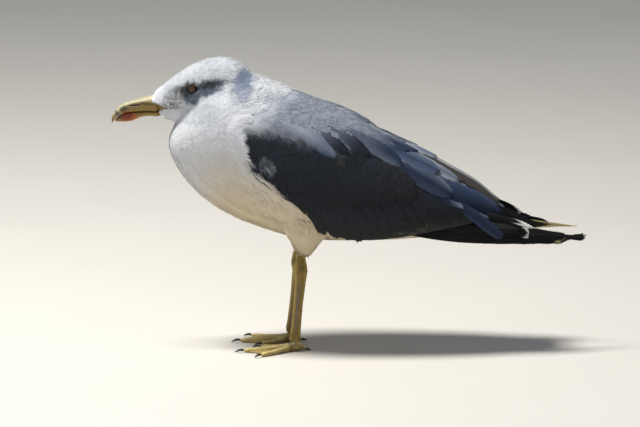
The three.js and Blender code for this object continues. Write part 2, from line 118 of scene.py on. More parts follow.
def scales(places, size):
    """1 on small packed scales of the size given, and 0 in the grooves between them."""
    grid = places / size
    low = np.floor(grid).astype(np.int64)
    first = np.full(len(places), 9.0)
    second = first.copy()
    for corner in itertools.product((-1, 0, 1), repeat=3):
        cell = low + corner
        gap = np.linalg.norm(cell + 0.5 + 0.4 * dice(cell) - grid, axis=1)
        second = np.minimum(second, np.maximum(first, gap))
        first = np.minimum(first, gap)
    return ramp(0, 0.3, second - first)


def places_of(mesh):
    flat = np.zeros(3 * len(mesh.vertices))
    mesh.vertices.foreach_get("co", flat)
    return flat.reshape(-1, 3) / MM


def normals_of(mesh):
    flat = np.zeros(3 * len(mesh.vertices))
    mesh.vertex_normals.foreach_get("vector", flat)
    return flat.reshape(-1, 3)


def move_to(mesh, places):
    mesh.vertices.foreach_set("co", (places * MM).ravel())
    mesh.update()


def dye(mesh, colours):
    """Stores a linear colour for each vertex, which the materials read as plumage."""
    layer = mesh.color_attributes.new("plumage", "FLOAT_COLOR", "POINT")
    full = np.concatenate([colours, np.ones((len(colours), 1))], axis=1)
    layer.data.foreach_set("color", full.ravel())


def shown(mesh, name, finish=None):
    """A new object for a mesh, in the scene."""
    piece = bpy.data.objects.new(name, mesh)
    bpy.context.scene.collection.objects.link(piece)
    if finish:
        mesh.materials.append(finish)
    return piece


def settle_piece(piece, slot, *replaced):
    """Puts a finished piece on the body, in place of CAD nodes. Its slot is not used."""
    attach(piece, "root")
    if replaced:
        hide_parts(*replaced)


def as_mesh(shape, name):
    """The mesh of a finished bmesh, which is freed."""
    mesh = bpy.data.meshes.new(name)
    shape.to_mesh(mesh)
    shape.free()
    return mesh


def smooth_shaded(mesh):
    mesh.polygons.foreach_set("use_smooth", np.ones(len(mesh.polygons), bool))


def cad_copy(names, swell):
    """One mesh of merged copies of CAD nodes, each swollen a little so that neighbours join."""
    together = bmesh.new()
    for name in names:
        part = bmesh.new()
        part.from_mesh(NODES[name].data)
        bmesh.ops.remove_doubles(part, verts=part.verts, dist=0.01 * MM)
        part.normal_update()
        for vert in part.verts:
            vert.co += vert.normal * swell * MM
        together.from_mesh(as_mesh(part, name + "_copy"))
    return as_mesh(together, "copy")


def remeshed(names, voxel, rounds, swell=0.4):
    """CAD nodes joined into one even closed mesh, with their facets smoothed away."""
    holder = shown(cad_copy(names, swell), "holder")
    remesh = holder.modifiers.new("even", "REMESH")
    remesh.mode = "VOXEL"
    remesh.voxel_size = voxel * MM
    soften = holder.modifiers.new("soften", "SMOOTH")
    soften.factor = 0.5
    soften.iterations = rounds
    seen = holder.evaluated_get(bpy.context.evaluated_depsgraph_get())
    mesh = bpy.data.meshes.new_from_object(seen)
    bpy.data.objects.remove(holder)
    smooth_shaded(mesh)
    return mesh


class Surface:
    """A mesh that feathers are laid on. It finds the nearest place on it and the normal there."""

    def __init__(self, mesh):
        self.places = places_of(mesh)
        self.normals = normals_of(mesh)
        faces = [tuple(face.vertices) for face in mesh.polygons]
        self.tree = BVHTree.FromPolygons([Vector(place) for place in self.places], faces)
        self.face_normals = unit(np.array([self.normals[list(face)].mean(axis=0) for face in faces]))
        self.centres = np.array([self.places[list(face)].mean(axis=0) for face in faces])
        self.soft_normals = self.softened(np.array([edge.vertices[:] for edge in mesh.edges]), faces)

    def softened(self, edges, faces, rounds=10):
        """Normals of the faces with small dents smoothed out, for the shading of the coat."""
        normals = self.normals.copy()
        for _ in range(rounds):
            total = 2 * normals
            np.add.at(total, edges[:, 0], normals[edges[:, 1]])
            np.add.at(total, edges[:, 1], normals[edges[:, 0]])
            normals = unit(total)
        return unit(np.array([normals[list(face)].mean(axis=0) for face in faces]))

    def nearest(self, places):
        """Nearest places, normals and faces."""
        found = [self.tree.find_nearest(Vector(place)) for place in places]
        faces = np.array([hit[2] for hit in found])
        return np.array([hit[0] for hit in found]), self.face_normals[faces], faces


# ---- materials --------------------------------------------------------------


def add(material, kind, settings=(), inputs=()):
    """Adds a node, sets its settings, and sets or links its inputs."""
    tree = material.node_tree
    made = tree.nodes.new(kind)
    for name, value in dict(settings).items():
        setattr(made, name, value)
    for name, value in dict(inputs).items():
        if isinstance(value, bpy.types.NodeSocket):
            tree.links.new(value, made.inputs[name])
        else:
            made.inputs[name].default_value = value
    return made


def blank(name):
    material = bpy.data.materials.new(name)
    material.use_nodes = True
    material.node_tree.nodes.clear()
    return material


def dyed(name):
    """A new material, with the colour dyed on its mesh and the places that its patterns follow."""
    material = blank(name)
    colour = add(material, "ShaderNodeAttribute", {"attribute_name": "plumage"}).outputs["Color"]
    return material, colour, add(material, "ShaderNodeTexCoord").outputs["Object"]


def darkened(material, colour, *patterns):
    """Multiplies a colour by patterns, each a value and the low and high stop of its grey ramp."""
    for value, *stops in patterns:
        greys = add(material, "ShaderNodeValToRGB", inputs={"Fac": value})
        for stop, (position, level) in zip(greys.color_ramp.elements, stops):
            stop.position = position
            stop.color = (level, level, level, 1)
        colour = add(material, "ShaderNodeMix", {"data_type": "RGBA", "blend_type": "MULTIPLY"},
                     {0: 1.0, 6: colour, 7: greys.outputs["Color"]}).outputs[2]
    return colour


def finished(material, tone, rough, bump=None, **fixed):
    """Ends a material in one shader. Rough is a level, or a value with its lowest and highest level.
    Bump is a height, its strength and its depth in millimetres."""
    values = {"Base Color": tone, "Roughness": rough}
    if isinstance(rough, tuple):
        value, low, high = rough
        values["Roughness"] = add(material, "ShaderNodeMapRange",
                                  inputs={"Value": value, "To Min": low, "To Max": high}).outputs[0]
    for name, level in fixed.items():
        values[name.replace("_", " ")] = level
    if bump:
        height, strength, depth = bump
        values["Normal"] = add(
            material, "ShaderNodeBump",
            inputs={"Height": height, "Strength": strength, "Distance": depth * MM}).outputs[0]
    shader = add(material, "ShaderNodeBsdfPrincipled", inputs=values)
    add(material, "ShaderNodeOutputMaterial", inputs={"Surface": shader.outputs[0]})
    return material


# Patterns on places have scales in cells to the millimetre, over MM. Those on a vane's own map are
# in cells to the millimetre as they stand, because that map is in millimetres.


def down(name, roughness, sheen, fleck):
    """Contour feathers: a soft matt coat with a faint powdery sheen, streaked by its loose barbs."""
    material, colour, where = dyed(name)
    vane = add(material, "ShaderNodeUVMap", {"uv_map": "vane"}).outputs["UV"]
    # streaks run along the feather, about a millimetre wide: coarser than real barbs, so they show
    drawn = add(material, "ShaderNodeMapping", inputs={"Vector": vane, "Scale": (1.1, 0.22, 1)})
    barbs = add(material, "ShaderNodeTexNoise",
                inputs={"Vector": drawn.outputs[0], "Scale": 1.0, "Detail": 2.0}).outputs["Fac"]
    soft = add(material, "ShaderNodeTexNoise",
               inputs={"Vector": where, "Scale": 0.09 / MM, "Detail": 3.0}).outputs["Fac"]
    tone = darkened(material, colour, (barbs, (0.3, 1 - fleck), (0.7, 1.0)),
                    (soft, (0.3, 0.94), (0.7, 1.0)))
    return finished(material, tone, (soft, roughness - 0.08, roughness + 0.08), (barbs, 0.15, 0.15),
                    Sheen_Weight=sheen, Sheen_Roughness=0.5, Specular_IOR_Level=0.25)


def quill_vane(name, roughness, barb_gap):
    """Stiff flight feathers: smooth silky webs of zipped barbs that slant out from the shaft."""
    material = blank(name)
    colour = add(material, "ShaderNodeAttribute", {"attribute_name": "plumage"}).outputs["Color"]
    vane = add(material, "ShaderNodeUVMap", {"uv_map": "vane"}).outputs["UV"]
    parts = add(material, "ShaderNodeSeparateXYZ", inputs={0: vane})
    out = add(material, "ShaderNodeMath", {"operation": "ABSOLUTE"}, {0: parts.outputs["X"]})
    # a barb leaves the shaft at a slant, so it reaches further back the further out it is
    slant = add(material, "ShaderNodeMath", {"operation": "MULTIPLY_ADD"},
                {0: out.outputs[0], 1: -1.3, 2: parts.outputs["Y"]})
    # the gap between barbs is wider than on a real feather, so that they show
    turns = add(material, "ShaderNodeMath", {"operation": "MULTIPLY"},
                {0: slant.outputs[0], 1: 2 * math.pi / barb_gap})
    waves = add(material, "ShaderNodeMath", {"operation": "SINE"}, {0: turns.outputs[0]}).outputs[0]
    # wear and fading run along the feather in faint streaks
    drawn = add(material, "ShaderNodeMapping", inputs={"Vector": vane, "Scale": (0.55, 0.06, 1)})
    cloudy = add(material, "ShaderNodeTexNoise",
                 inputs={"Vector": drawn.outputs[0], "Scale": 1.0, "Detail": 4.0}).outputs["Fac"]
    lines = add(material, "ShaderNodeMapRange",
                inputs={"Value": waves, "From Min": -1.0, "To Min": 0.86, "To Max": 1.0})
    tone = add(material, "ShaderNodeMix", {"data_type": "RGBA", "blend_type": "MULTIPLY"},
               {0: 1.0, 6: colour, 7: lines.outputs[0]}).outputs[2]
    tone = darkened(material, tone, (cloudy, (0.3, 0.86), (0.7, 1.0)))
    return finished(material, tone, (cloudy, roughness - 0.1, roughness + 0.1), (waves, 0.3, 0.08),
                    Sheen_Weight=0.02, Specular_IOR_Level=0.2)


def under_skin(name):
    """Bird skin under the down: dry and finely goose-pimpled, dyed as the feathers over it."""
    material, colour, where = dyed(name)
    pimples = add(material, "ShaderNodeTexVoronoi",
                  inputs={"Vector": where, "Scale": 1 / (2.2 * MM)}).outputs["Distance"]
    tone = darkened(material, colour, (pimples, (0.0, 1.0), (0.78, 0.95)))
    return finished(material, tone, 0.8, (pimples, 0.5, 0.3))


def leg_leather(name, roughness, gloss):
    """Bare scaled skin: horny plates with a waxy gloss, dirt in the grooves and fine wrinkles."""
    material, colour, where = dyed(name)
    wrinkles = add(material, "ShaderNodeTexVoronoi", {"feature": "DISTANCE_TO_EDGE"},
                   {"Vector": where, "Scale": 1 / (0.9 * MM)}).outputs["Distance"]
    stains = add(material, "ShaderNodeTexNoise",
                 inputs={"Vector": where, "Scale": 0.26 / MM, "Detail": 4.0}).outputs["Fac"]
    tone = darkened(material, colour, (wrinkles, (0.0, 0.8), (0.2, 1.0)),
                    (stains, (0.3, 0.78), (0.65, 1.0)))
    return finished(material, tone, (stains, roughness, roughness + 0.26), (wrinkles, 0.5, 0.15),
                    Specular_IOR_Level=gloss, Subsurface_Weight=0.08,
                    Subsurface_Radius=(1.0 * MM, 0.5 * MM, 0.2 * MM))


def horn(name, roughness, coat):
    """Keratin of bill and claws: hard and waxy, with growth streaks along it and worn patches."""
    material, colour, where = dyed(name)
    along = add(material, "ShaderNodeMapping", inputs={"Vector": where, "Scale": (1.0, 0.18, 1.0)})
    streaks = add(material, "ShaderNodeTexNoise",
                  inputs={"Vector": along.outputs[0], "Scale": 1.5 / MM, "Detail": 3.0}).outputs["Fac"]
    wear = add(material, "ShaderNodeTexNoise",
               inputs={"Vector": where, "Scale": 0.3 / MM, "Detail": 4.0}).outputs["Fac"]
    tone = darkened(material, colour, (streaks, (0.3, 0.82), (0.65, 1.0)),
                    (wear, (0.35, 0.86), (0.6, 1.0)))
    return finished(material, tone, (wear, roughness - 0.08, roughness + 0.12), (streaks, 0.25, 0.1),
                    Coat_Weight=coat, Coat_Roughness=0.25, Subsurface_Weight=0.1,
                    Subsurface_Radius=(1.5 * MM, 0.8 * MM, 0.3 * MM))


# Rings of the eye from the middle out, each a share of IRIS_REACH and its tone: the pupil, the rim
# round it, the tan iris, its dim outer part, and the dark edge.
# painted shade: the iris tones are darkened to their look in shade
IRIS_RINGS = ((0.26, "060505"), (0.3, "4A3727"), (0.38, "77593C"), (0.55, "664A32"), (0.66, "1C110B"),
              (0.85, "120D09"))
IRIS_REACH = 5.0


def iris_and_pupil(name, centre):
    """A gull's wet eye: a tan iris, dimmed with painted shade, with fine spokes round a black pupil, under
    clear gloss.
    """
    material = blank(name)
    where = add(material, "ShaderNodeTexCoord").outputs["Object"]
    local = add(material, "ShaderNodeMapping",
                inputs={"Vector": where, "Location": tuple(-value * MM for value in centre)})
    flat = add(material, "ShaderNodeVectorMath", {"operation": "MULTIPLY"},
               {0: local.outputs[0], 1: (0.0, 1 / MM, 1 / MM)})
    radius = add(material, "ShaderNodeVectorMath", {"operation": "LENGTH"}, {0: flat.outputs[0]})
    heading = add(material, "ShaderNodeVectorMath", {"operation": "NORMALIZE"}, {0: flat.outputs[0]})
    spokes = add(material, "ShaderNodeTexNoise",
                 inputs={"Vector": heading.outputs[0], "Scale": 9.0, "Detail": 4.0}).outputs["Fac"]
    share = add(material, "ShaderNodeMath", {"operation": "DIVIDE"},
                {0: radius.outputs["Value"], 1: IRIS_REACH})
    rings = add(material, "ShaderNodeValToRGB", inputs={"Fac": share.outputs[0]})
    line = rings.color_ramp.elements
    pupil, *between, edge = IRIS_RINGS
    line[0].position, line[0].color = pupil[0], rgba(pupil[1])
    line[1].position, line[1].color = edge[0], rgba(edge[1])
    for position, code in between:
        line.new(position).color = rgba(code)
    tone = darkened(material, rings.outputs["Color"], (spokes, (0.35, 0.7), (0.6, 1.0)))
    return finished(material, tone, (spokes, 0.2, 0.3),
                    Coat_Weight=0.2, Coat_Roughness=0.06, Coat_IOR=1.38)


def swept_floor(name):
    """A pale matt studio floor with a trace of mottling."""
    material = blank(name)
    where = add(material, "ShaderNodeTexCoord").outputs["Object"]
    cloud = add(material, "ShaderNodeTexNoise",
                inputs={"Vector": where, "Scale": 3.0, "Detail": 4.0}).outputs["Fac"]
    tone = add(material, "ShaderNodeMix", {"data_type": "RGBA"},
               {0: cloud, 6: rgba("CFCBC4"), 7: rgba("D6D2CB")}).outputs[2]
    return finished(material, tone, 0.9)


# ---- the bird's form --------------------------------------------------------

EYE_RADIUS = 6.0
eye_low, eye_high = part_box("eye_left")
EYE = np.array((eye_low + eye_high) / 2) / MM
COARSE = 2.4  # mesh step of the body's skin
FINE = 0.75  # mesh step of the legs' skin

form_mesh = remeshed(FLESH, COARSE, 10)
form = Surface(form_mesh)

# the CAD node that each face of the form belongs to
node_trees = []
for node_name in FLESH:
    node_surface = Surface(cad_copy([node_name], 0))
    node_trees.append(node_surface.tree)
gaps = np.array([[tree.find_nearest(Vector(c))[3] for c in form.centres] for tree in node_trees])
OWNER = np.array(FLESH)[gaps.argmin(axis=0)]
ON_WING = np.char.startswith(OWNER, "wing")

# Bends of the line through the middle of the bird, from bill to tail, as (y, z). Feathers point
# along it, and the coat is unrolled round it.
SPINE_BENDS = np.array([
    (-262, 258), (-212, 268), (-172, 285), (-140, 276), (-108, 246), (-50, 205), (30, 178), (110, 150),
    (200, 128),
])


def spine_line(steps=160):
    """Even samples of the middle line and its headings, as (x, y, z)."""
    gaps_between = np.linalg.norm(np.diff(SPINE_BENDS, axis=0), axis=1)
    reach = np.concatenate([[0], np.cumsum(gaps_between)])
    at = np.linspace(0, reach[-1], steps)
    line = np.stack([np.zeros(steps), np.interp(at, reach, SPINE_BENDS[:, 0]),
                     np.interp(at, reach, SPINE_BENDS[:, 1])], axis=1)
    for _ in range(60):
        line[1:-1] = (line[:-2] + 2 * line[1:-1] + line[2:]) / 4
    return line, unit(np.gradient(line, axis=0))


SPINE, HEADINGS = spine_line()


def beside_spine(places):
    """The index of the nearest sample of the middle line for each place."""
    index = np.zeros(len(places), int)
    for start in range(0, len(places), 4096):
        block = places[start : start + 4096, None, 1:] - SPINE[None, :, 1:]
        index[start : start + 4096] = (block**2).sum(axis=2).argmin(axis=1)
    return index


def unrolled(places):
    """The coat's own map: how far round the middle line a place is, and how far along it."""
    near = beside_spine(places)
    away = places - SPINE[near]
    upward = np.stack([np.zeros(len(near)), -HEADINGS[near, 2], HEADINGS[near, 1]], axis=1)
    around = np.arctan2(places[:, 0], (away * upward).sum(axis=1))
    return np.stack([0.5 + 0.47 * around / math.pi, 0.02 + 0.96 * near / len(SPINE)], axis=1)


# ---- markings, the same for skin and coat -----------------------------------

WHITE = srgb("E0E2E6")
# painted light: a warm cream that stands for light bounced up onto the lower belly
BOUNCED_LIGHT_CREAM = srgb("DCC9A2")
BLUISH = srgb("C6CBD3")
# partly a real grey smudge and partly painted shade, on the nape and where the mantle begins
NAPE_SMUDGE_AND_SHADE = srgb("62718E")
# painted shade: this soft blue-grey stands for shade in the folds of the white coat, and also greys the
# crown, the forehead and the wrist puffs
FOLD_SHADE = srgb("A9B0BA")  # soft blue-grey in the folds of the white coat
STREAK = srgb("7C7E84")
LORE_BROWN = srgb("5C5955")
# the eye patch's tones, partly real streaking and partly painted shade under the brow
BROW_SHADE_AND_MASK_DARK = srgb("252629")
EYE_MASK_AND_SHADE_BLUE = srgb("405064")
MANTLE = srgb("8A919E")
# painted shade: the coverts take the dark tone of the wing's shaded side rather than the mantle's grey,
# and are darker still low on the wing
COVERT_IN_SHADE = srgb("1C212B")
COVERT_LOW_IN_SHADE = srgb("1C1E20")
GAPE_SKIN = srgb("8C7A48")
MOUTH_LINE = srgb("3A332C")


def patch(places, centre, size, tilt, seed=0, ragged=0.16):
    """1 inside a soft-edged oval on the side of the bird, centred at (y, z), and 0 outside."""
    turn = math.radians(tilt)
    y = places[:, 1] - centre[0]
    z = places[:, 2] - centre[1]
    along = (y * math.cos(turn) + z * math.sin(turn)) / size[0]
    over = (z * math.cos(turn) - y * math.sin(turn)) / size[1]
    away = np.hypot(along, over) + ragged * mottle(places, 3.0, seed)
    return (1 - ramp(0.62, 1.2, away)) * ramp(5, 11, np.abs(places[:, 0]))


def above_back(places):
    """How far a place lies above the slanting line where the grey back ends."""
    return places[:, 2] - (266 - 0.46 * (places[:, 1] + 110))


def behind_collar(places):
    """How far a place lies behind the slanting line where the white neck meets the grey back."""
    y, z = places[:, 1], places[:, 2]
    return y - (-114 + 0.9 * (z - 254) + 14 * ramp(272, 292, z))


MOUTH = np.array([(-219, 261), (-212, 262.5), (-208, 264.5), (-200, 267.6), (-193, 268.8), (-180, 269.8)])
BILL_EDGE = np.array([(-219, 275.5), (-210, 273), (-198, 268.5), (-190, 268)])


def gape(places):
    """1 on the bare yellow skin that tapers back from the bill above the line of the mouth."""
    y, z = places[:, 1], places[:, 2]
    inside = np.minimum(np.interp(y, *BILL_EDGE.T) - z, z - np.interp(y, *MOUTH.T) + 0.4)
    return ramp(-0.3, 0.5, inside) * (1 - ramp(-200, -196, y)) * ramp(1, 3, np.abs(places[:, 0]))


def head_markings(places, tone):
    """Crown streaks, lores, painted shade in the folds, and the dusky patch through the eye and the nape's
    smudge, both partly painted shade.
    """
    y, z = places[:, 1], places[:, 2]
    crown = ramp(-206, -188, y) * (1 - ramp(-112, -84, y)) * ramp(262, 290, z)
    fine = ramp(0.1, 0.7, mottle(places, np.array([2.0, 4.2, 1.5]), 1))
    # the crown takes a flat grey under its streaks
    tone = mix(tone, FOLD_SHADE, 0.3 * crown)
    tone = mix(tone, STREAK, 0.34 * crown * fine)
    speckle = ramp(-0.35, 0.25, mottle(places, np.array([1.5, 1.7, 1.1]), 3))
    tone = mix(tone, LORE_BROWN, 0.74 * patch(places, (-190, 281), (15, 10), 24, 2) * speckle)
    tone = mix(tone, LORE_BROWN, 0.6 * patch(places, (-194, 272), (15, 3), -3, 20) * speckle)
    tone = mix(tone, LORE_BROWN, 0.7 * patch(places, (-186, 289.5), (10, 4.2), 16, 14))
    # painted shade under the chin, on the cheek below the eye patch and in the crease under the cheek, and
    # the same grey on the forehead beside the lores
    tone = mix(tone, FOLD_SHADE, 0.25 * patch(places, (-180, 262), (6, 9), 30, 21, 0.3))
    tone = mix(tone, FOLD_SHADE, 0.55 * patch(places, (-160, 267), (20, 9), 12, 25, 0.3))
    tone = mix(tone, FOLD_SHADE, 0.4 * patch(places, (-200, 287), (10, 8), 30, 26, 0.3))
    tone = mix(tone, FOLD_SHADE, 0.4 * patch(places, (-168, 256), (24, 2.8), 9, 15, 0.3))
    # a dusky patch rings the eye and runs back as a wedge, darkest along its upper edge: partly real grey
    # streaking and partly painted shade under the brow, blue where shaded
    broken = 0.82 + 0.18 * ramp(-0.5, 0.3, mottle(places, np.array([2, 3.4, 1.3]), 22))
    tone = mix(tone, EYE_MASK_AND_SHADE_BLUE, 0.95 * broken * patch(places, (-174, 281.5), (10, 9), -20, 5, 0.3))
    tone = mix(tone, EYE_MASK_AND_SHADE_BLUE, 0.95 * broken * patch(places, (-156, 292), (21, 7.8), 15, 4, 0.3))
    tone = mix(tone, BROW_SHADE_AND_MASK_DARK, 0.9 * broken * patch(places, (-154, 297), (22, 4.8), 13, 6, 0.3))
    tone = mix(tone, BROW_SHADE_AND_MASK_DARK, 0.9 * broken * patch(places, (-175, 290.5), (11, 7.5), 14, 7, 0.3))
    # the nape's blue-grey, partly a real smudge and partly painted shade in the hollow between head and
    # mantle
    tone = mix(tone, NAPE_SMUDGE_AND_SHADE, 0.55 * patch(places, (-118, 298), (13, 20), -14, 8, 0.35))
    tone = mix(tone, NAPE_SMUDGE_AND_SHADE, 0.6 * patch(places, (-118, 301), (9, 13), -14, 16, 0.3))
    tone = mix(tone, NAPE_SMUDGE_AND_SHADE, 0.4 * patch(places, (-84, 281), (16, 9), -20, 9, 0.4))
    line = 1 - ramp(0.4, 1.2, np.abs(z - np.interp(y, *MOUTH.T)) + 0.4 * mottle(places, 2.0, 17))
    line = line * ramp(-217, -213, y) * (1 - ramp(-194, -178, y)) * ramp(3, 6, np.abs(places[:, 0]))
    tone = mix(tone, GAPE_SKIN, gape(places))
    return mix(tone, MOUTH_LINE, 0.8 * line)


def above_wing_shade(places):
    """How far a place lies above the line where the light mantle gives way to the painted shade of the
    dark coverts.
    """
    y, z = places[:, 1], places[:, 2]
    front = 5 * (1 - ramp(-96, -66, y))
    return z - (253 + front - 0.19 * (y + 112) - 0.3 * np.maximum(0, y - 6) + 12 * ramp(-8, 14, y))


def markings(places, on_wing):
    """Linear plumage colours at places on the bird."""
    y, z = places[:, 1], places[:, 2]
    tone = np.broadcast_to(WHITE, places.shape).copy()
    # painted light: the lower front of the belly turns warm cream, as if lit from the ground below
    tone = mix(tone, BOUNCED_LIGHT_CREAM, 0.85 * (1 - ramp(125, 215, z + 0.25 * y)) * ramp(-190, -120, y))
    tone = head_markings(places, tone)
    # grey back, with a soft mottled passage from the white collar
    passage = behind_collar(places) + 5 * mottle(places, 14.0, 10) + 3 * mottle(places, 4.0, 11)
    above = ramp(-12, 6, above_back(places))
    behind = np.maximum(1 - ramp(58, 84, y), ramp(150, 158, z))
    # painted shade: below that line the wing's side darkens to the shaded coverts' tone, darker towards
    # the bottom
    dark = mix(COVERT_IN_SHADE, COVERT_LOW_IN_SHADE, 1 - ramp(150, 215, z - 0.25 * y))
    slate = mix(MANTLE, dark, 1 - ramp(-10, 12, above_wing_shade(places) + 6 * mottle(places, 6.0, 18)))
    slate = slate * (1 + 0.08 * mottle(places, 9.0, 12) + 0.05 * mottle(places, 3.5, 19))[:, None]
    bluish = ramp(-22, 12, passage)
    grey = ramp(-4, 34, passage)
    cover = np.where(on_wing, ramp(-22, 2, behind_collar(places) + 8 * mottle(places, 6.0, 13)), 0)
    cover = cover * (1 - ramp(244, 262, z))
    reach = above * behind
    tone = mix(tone, BLUISH, 0.75 * bluish * np.maximum(reach, on_wing))
    tone = mix(tone, slate, np.maximum(grey * np.maximum(reach, on_wing), cover))
    return tone


# ---- skin -------------------------------------------------------------------


def coat_depth(places, on_wing):
    """How thick the feathers lie over the skin, thinnest on the face."""
    y, z = places[:, 1], places[:, 2]
    depth = 1.0 + 1.6 * ramp(-195, -150, y) + 2.2 * ramp(-150, -90, y)
    depth = np.where(z < 150, np.minimum(depth, 1.6 + 3.2 * ramp(100, 150, z)), depth)
    return np.where(on_wing, 3.0, depth)


def nearest_wing(places):
    return ON_WING[form.nearest(places)[2]]


VERT_ON_WING = nearest_wing(form.places)
BODY_SIDE = gaps[[FLESH.index("trunk"), FLESH.index("neck")]].min(axis=0)


def fringe_top(places):
    """How high the fringe reaches: over the shoulder in front, and lower behind it."""
    return 246 + 20 * (1 - ramp(-102, -90, places[:, 1]))


def under_fringe(places, faces):
    """True on the strip of each wing that the white fringe of the breast spills over."""
    return (BODY_SIDE[faces] < 6.5) & (places[:, 1] < 4) & (places[:, 2] < fringe_top(places))


LID_DARK = srgb("1B1513")
LID_RING = srgb("4A3122")


def lid(mirror):
    """The bare ring of lid round an eye: a profile spun about the eye's axis, finely wrinkled."""
    ring = bmesh.new()
    outline = [(2.9, 4.9), (2.95, 5.35), (3.15, 5.7), (3.5, 5.6), (3.85, 5.1), (4.3, 4.7), (4.8, 3.9),
               (5.2, 2.6)]
    rim = [ring.verts.new((depth, radius, 0)) for radius, depth in outline]
    edges = [ring.edges.new(pair) for pair in zip(rim, rim[1:])]
    bmesh.ops.spin(ring, geom=rim + edges, cent=(0, 0, 0), axis=(1, 0, 0), angle=math.tau, steps=56,
                   use_merge=True)
    bmesh.ops.remove_doubles(ring, verts=ring.verts, dist=0.01)
    for vert in ring.verts:
        turn = math.atan2(vert.co.z, vert.co.y)
        radius = math.hypot(vert.co.y, vert.co.z)
        vert.co.x += 0.1 * math.sin(19 * turn) * (radius > 3.2)
        # the opening is an almond, higher at its rear corner
        if radius < 4.5:
            vert.co.y *= 1.14
            vert.co.z *= 0.84
        vert.co.z += 0.3 * vert.co.y * (radius < 4.5)
        vert.co.x *= mirror
    bmesh.ops.translate(ring, verts=ring.verts, vec=(mirror * EYE[0], EYE[1], EYE[2]))
    bmesh.ops.recalc_face_normals(ring, faces=ring.faces)
    if sum(face.normal.x * mirror for face in ring.faces) < 0:
        bmesh.ops.reverse_faces(ring, faces=ring.faces)
    bmesh.ops.scale(ring, verts=ring.verts, vec=(MM, MM, MM))
    mesh = as_mesh(ring, "lid")
    places = places_of(mesh)
    out = np.hypot(places[:, 1] - EYE[1], places[:, 2] - EYE[2])
    ring_tone = 1 - ramp(0.25, 0.6, np.abs(out - 4.05))
    dye(mesh, mix(np.broadcast_to(LID_DARK, places.shape), LID_RING, ring_tone))
    return mesh


LEG_YELLOW = srgb("9E7A1A")
LEG_PALE = srgb("E2CB78")
LEG_OLIVE = srgb("4C4514")
# painted shade for the sides of the shank
LEG_SIDE_SHADE = srgb("857A66")
TOE_CREAM = srgb("EDD68E")
WEB_TONE = srgb("CDB068")
SCUTE = 3.3  # from one front plate of the leg to the next
TOE_SCUTE = 2.4
HEEL_HEIGHT = 93


def leg_skin(side, mirror):
    """Leg and foot, with plates down the front and over the toes, small scales elsewhere."""
    mesh = remeshed([f"shank_{side}", f"foot_{side}"], FINE, 3, swell=0.3)
    places = places_of(mesh)
    normals = normals_of(mesh)
    heights = np.arange(6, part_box(f"shank_{side}")[1].z / MM, 4.0)
    rows = np.digitize(places[:, 2], heights)
    usable = [i for i in range(1, len(heights)) if (rows == i).sum() > 12 and heights[i - 1] > 13]
    levels = np.array([places[rows == i, 2].mean() for i in usable])
    axis_x = np.interp(places[:, 2], levels, [places[rows == i, 0].mean() for i in usable])
    axis_y = np.interp(places[:, 2], levels, [places[rows == i, 1].mean() for i in usable])
    out_x, out_y = places[:, 0] - axis_x, places[:, 1] - axis_y
    turn = np.degrees(np.arctan2(out_x * mirror, -out_y))  # 0 in front, 90 on the outer side
    z = places[:, 2]
    on_leg = ramp(11, 16, z)
    front = 1 - ramp(38, 58, np.abs(turn))
    back = ramp(125, 150, np.abs(turn))
    small = scales(places, 2.0)
    wave = np.abs(((z + 0.015 * turn**2 / 10) / SCUTE) % 1 - 0.5) * 2
    plates = 1 - ramp(0.72, 1.0, wave)
    ankle = np.array([axis_x[z < 14].mean(), axis_y[z < 14].mean()])
    reach = np.hypot(places[:, 0] - ankle[0], places[:, 1] - ankle[1])
    toe_wave = np.abs((reach / TOE_SCUTE) % 1 - 0.5) * 2
    toe_plates = 1 - ramp(0.7, 1.0, toe_wave)
    on_toe = ramp(2.6, 3.6, z) * ramp(0.2, 0.6, normals[:, 2]) * (1 - on_leg)
    tiny = scales(places, 1.3)
    pattern = small * (1 - front) + plates * front
    pattern = np.where(on_leg > 0.5, pattern, toe_plates * on_toe + tiny * (1 - on_toe))
    lift = 0.38 * on_leg + 0.3 * (1 - on_leg)
    lift = np.where(normals[:, 2] < -0.6, 0.1, lift)
    places += normals * ((pattern - 0.7) * lift)[:, None]
    places[:, 2] = np.maximum(places[:, 2], 0.05)
    move_to(mesh, places)
    olive_heel = (1 - ramp(4, 15, np.abs(z - HEEL_HEIGHT))) * ramp(-0.2, 0.5, mottle(places, 4.0, 21))
    olive_ankle = on_leg * (1 - ramp(14, 26, z)) * ramp(-0.3, 0.4, mottle(places, 2.5, 22))
    # the plates down the front are paler, partly their own colour and partly painted light
    tone = mix(LEG_YELLOW, LEG_PALE, 0.45 * front * on_leg * pattern)
    # painted shade: a greyish mauve down the middle of each side of the shank
    shaded_side = ramp(45, 62, np.abs(turn)) * (1 - ramp(100, 125, np.abs(turn)))
    tone = mix(tone, LEG_SIDE_SHADE, 0.75 * shaded_side * on_leg * (1 - ramp(70, 86, z)) * ramp(18, 30, z))
    tone = mix(tone, LEG_OLIVE, 0.55 * olive_heel)
    tone = mix(tone, LEG_OLIVE, 0.55 * olive_ankle)
    # painted light: the back of the shank is paler
    tone = mix(tone, LEG_PALE, 0.35 * back * on_leg)
    tone = mix(tone, mix(WEB_TONE, TOE_CREAM, on_toe), 1 - on_leg)
    joint = (1 - ramp(7, 15, reach)) * (1 - on_leg)
    tone = mix(tone, LEG_OLIVE, 0.6 * joint * ramp(-0.5, 0.3, mottle(places, 2.2, 23)))
    tone = mix(tone, LEG_OLIVE, 0.62 * (1 - pattern))
    dye(mesh, tone * (1 + 0.1 * mottle(places, 5.0, 24))[:, None])
    return mesh


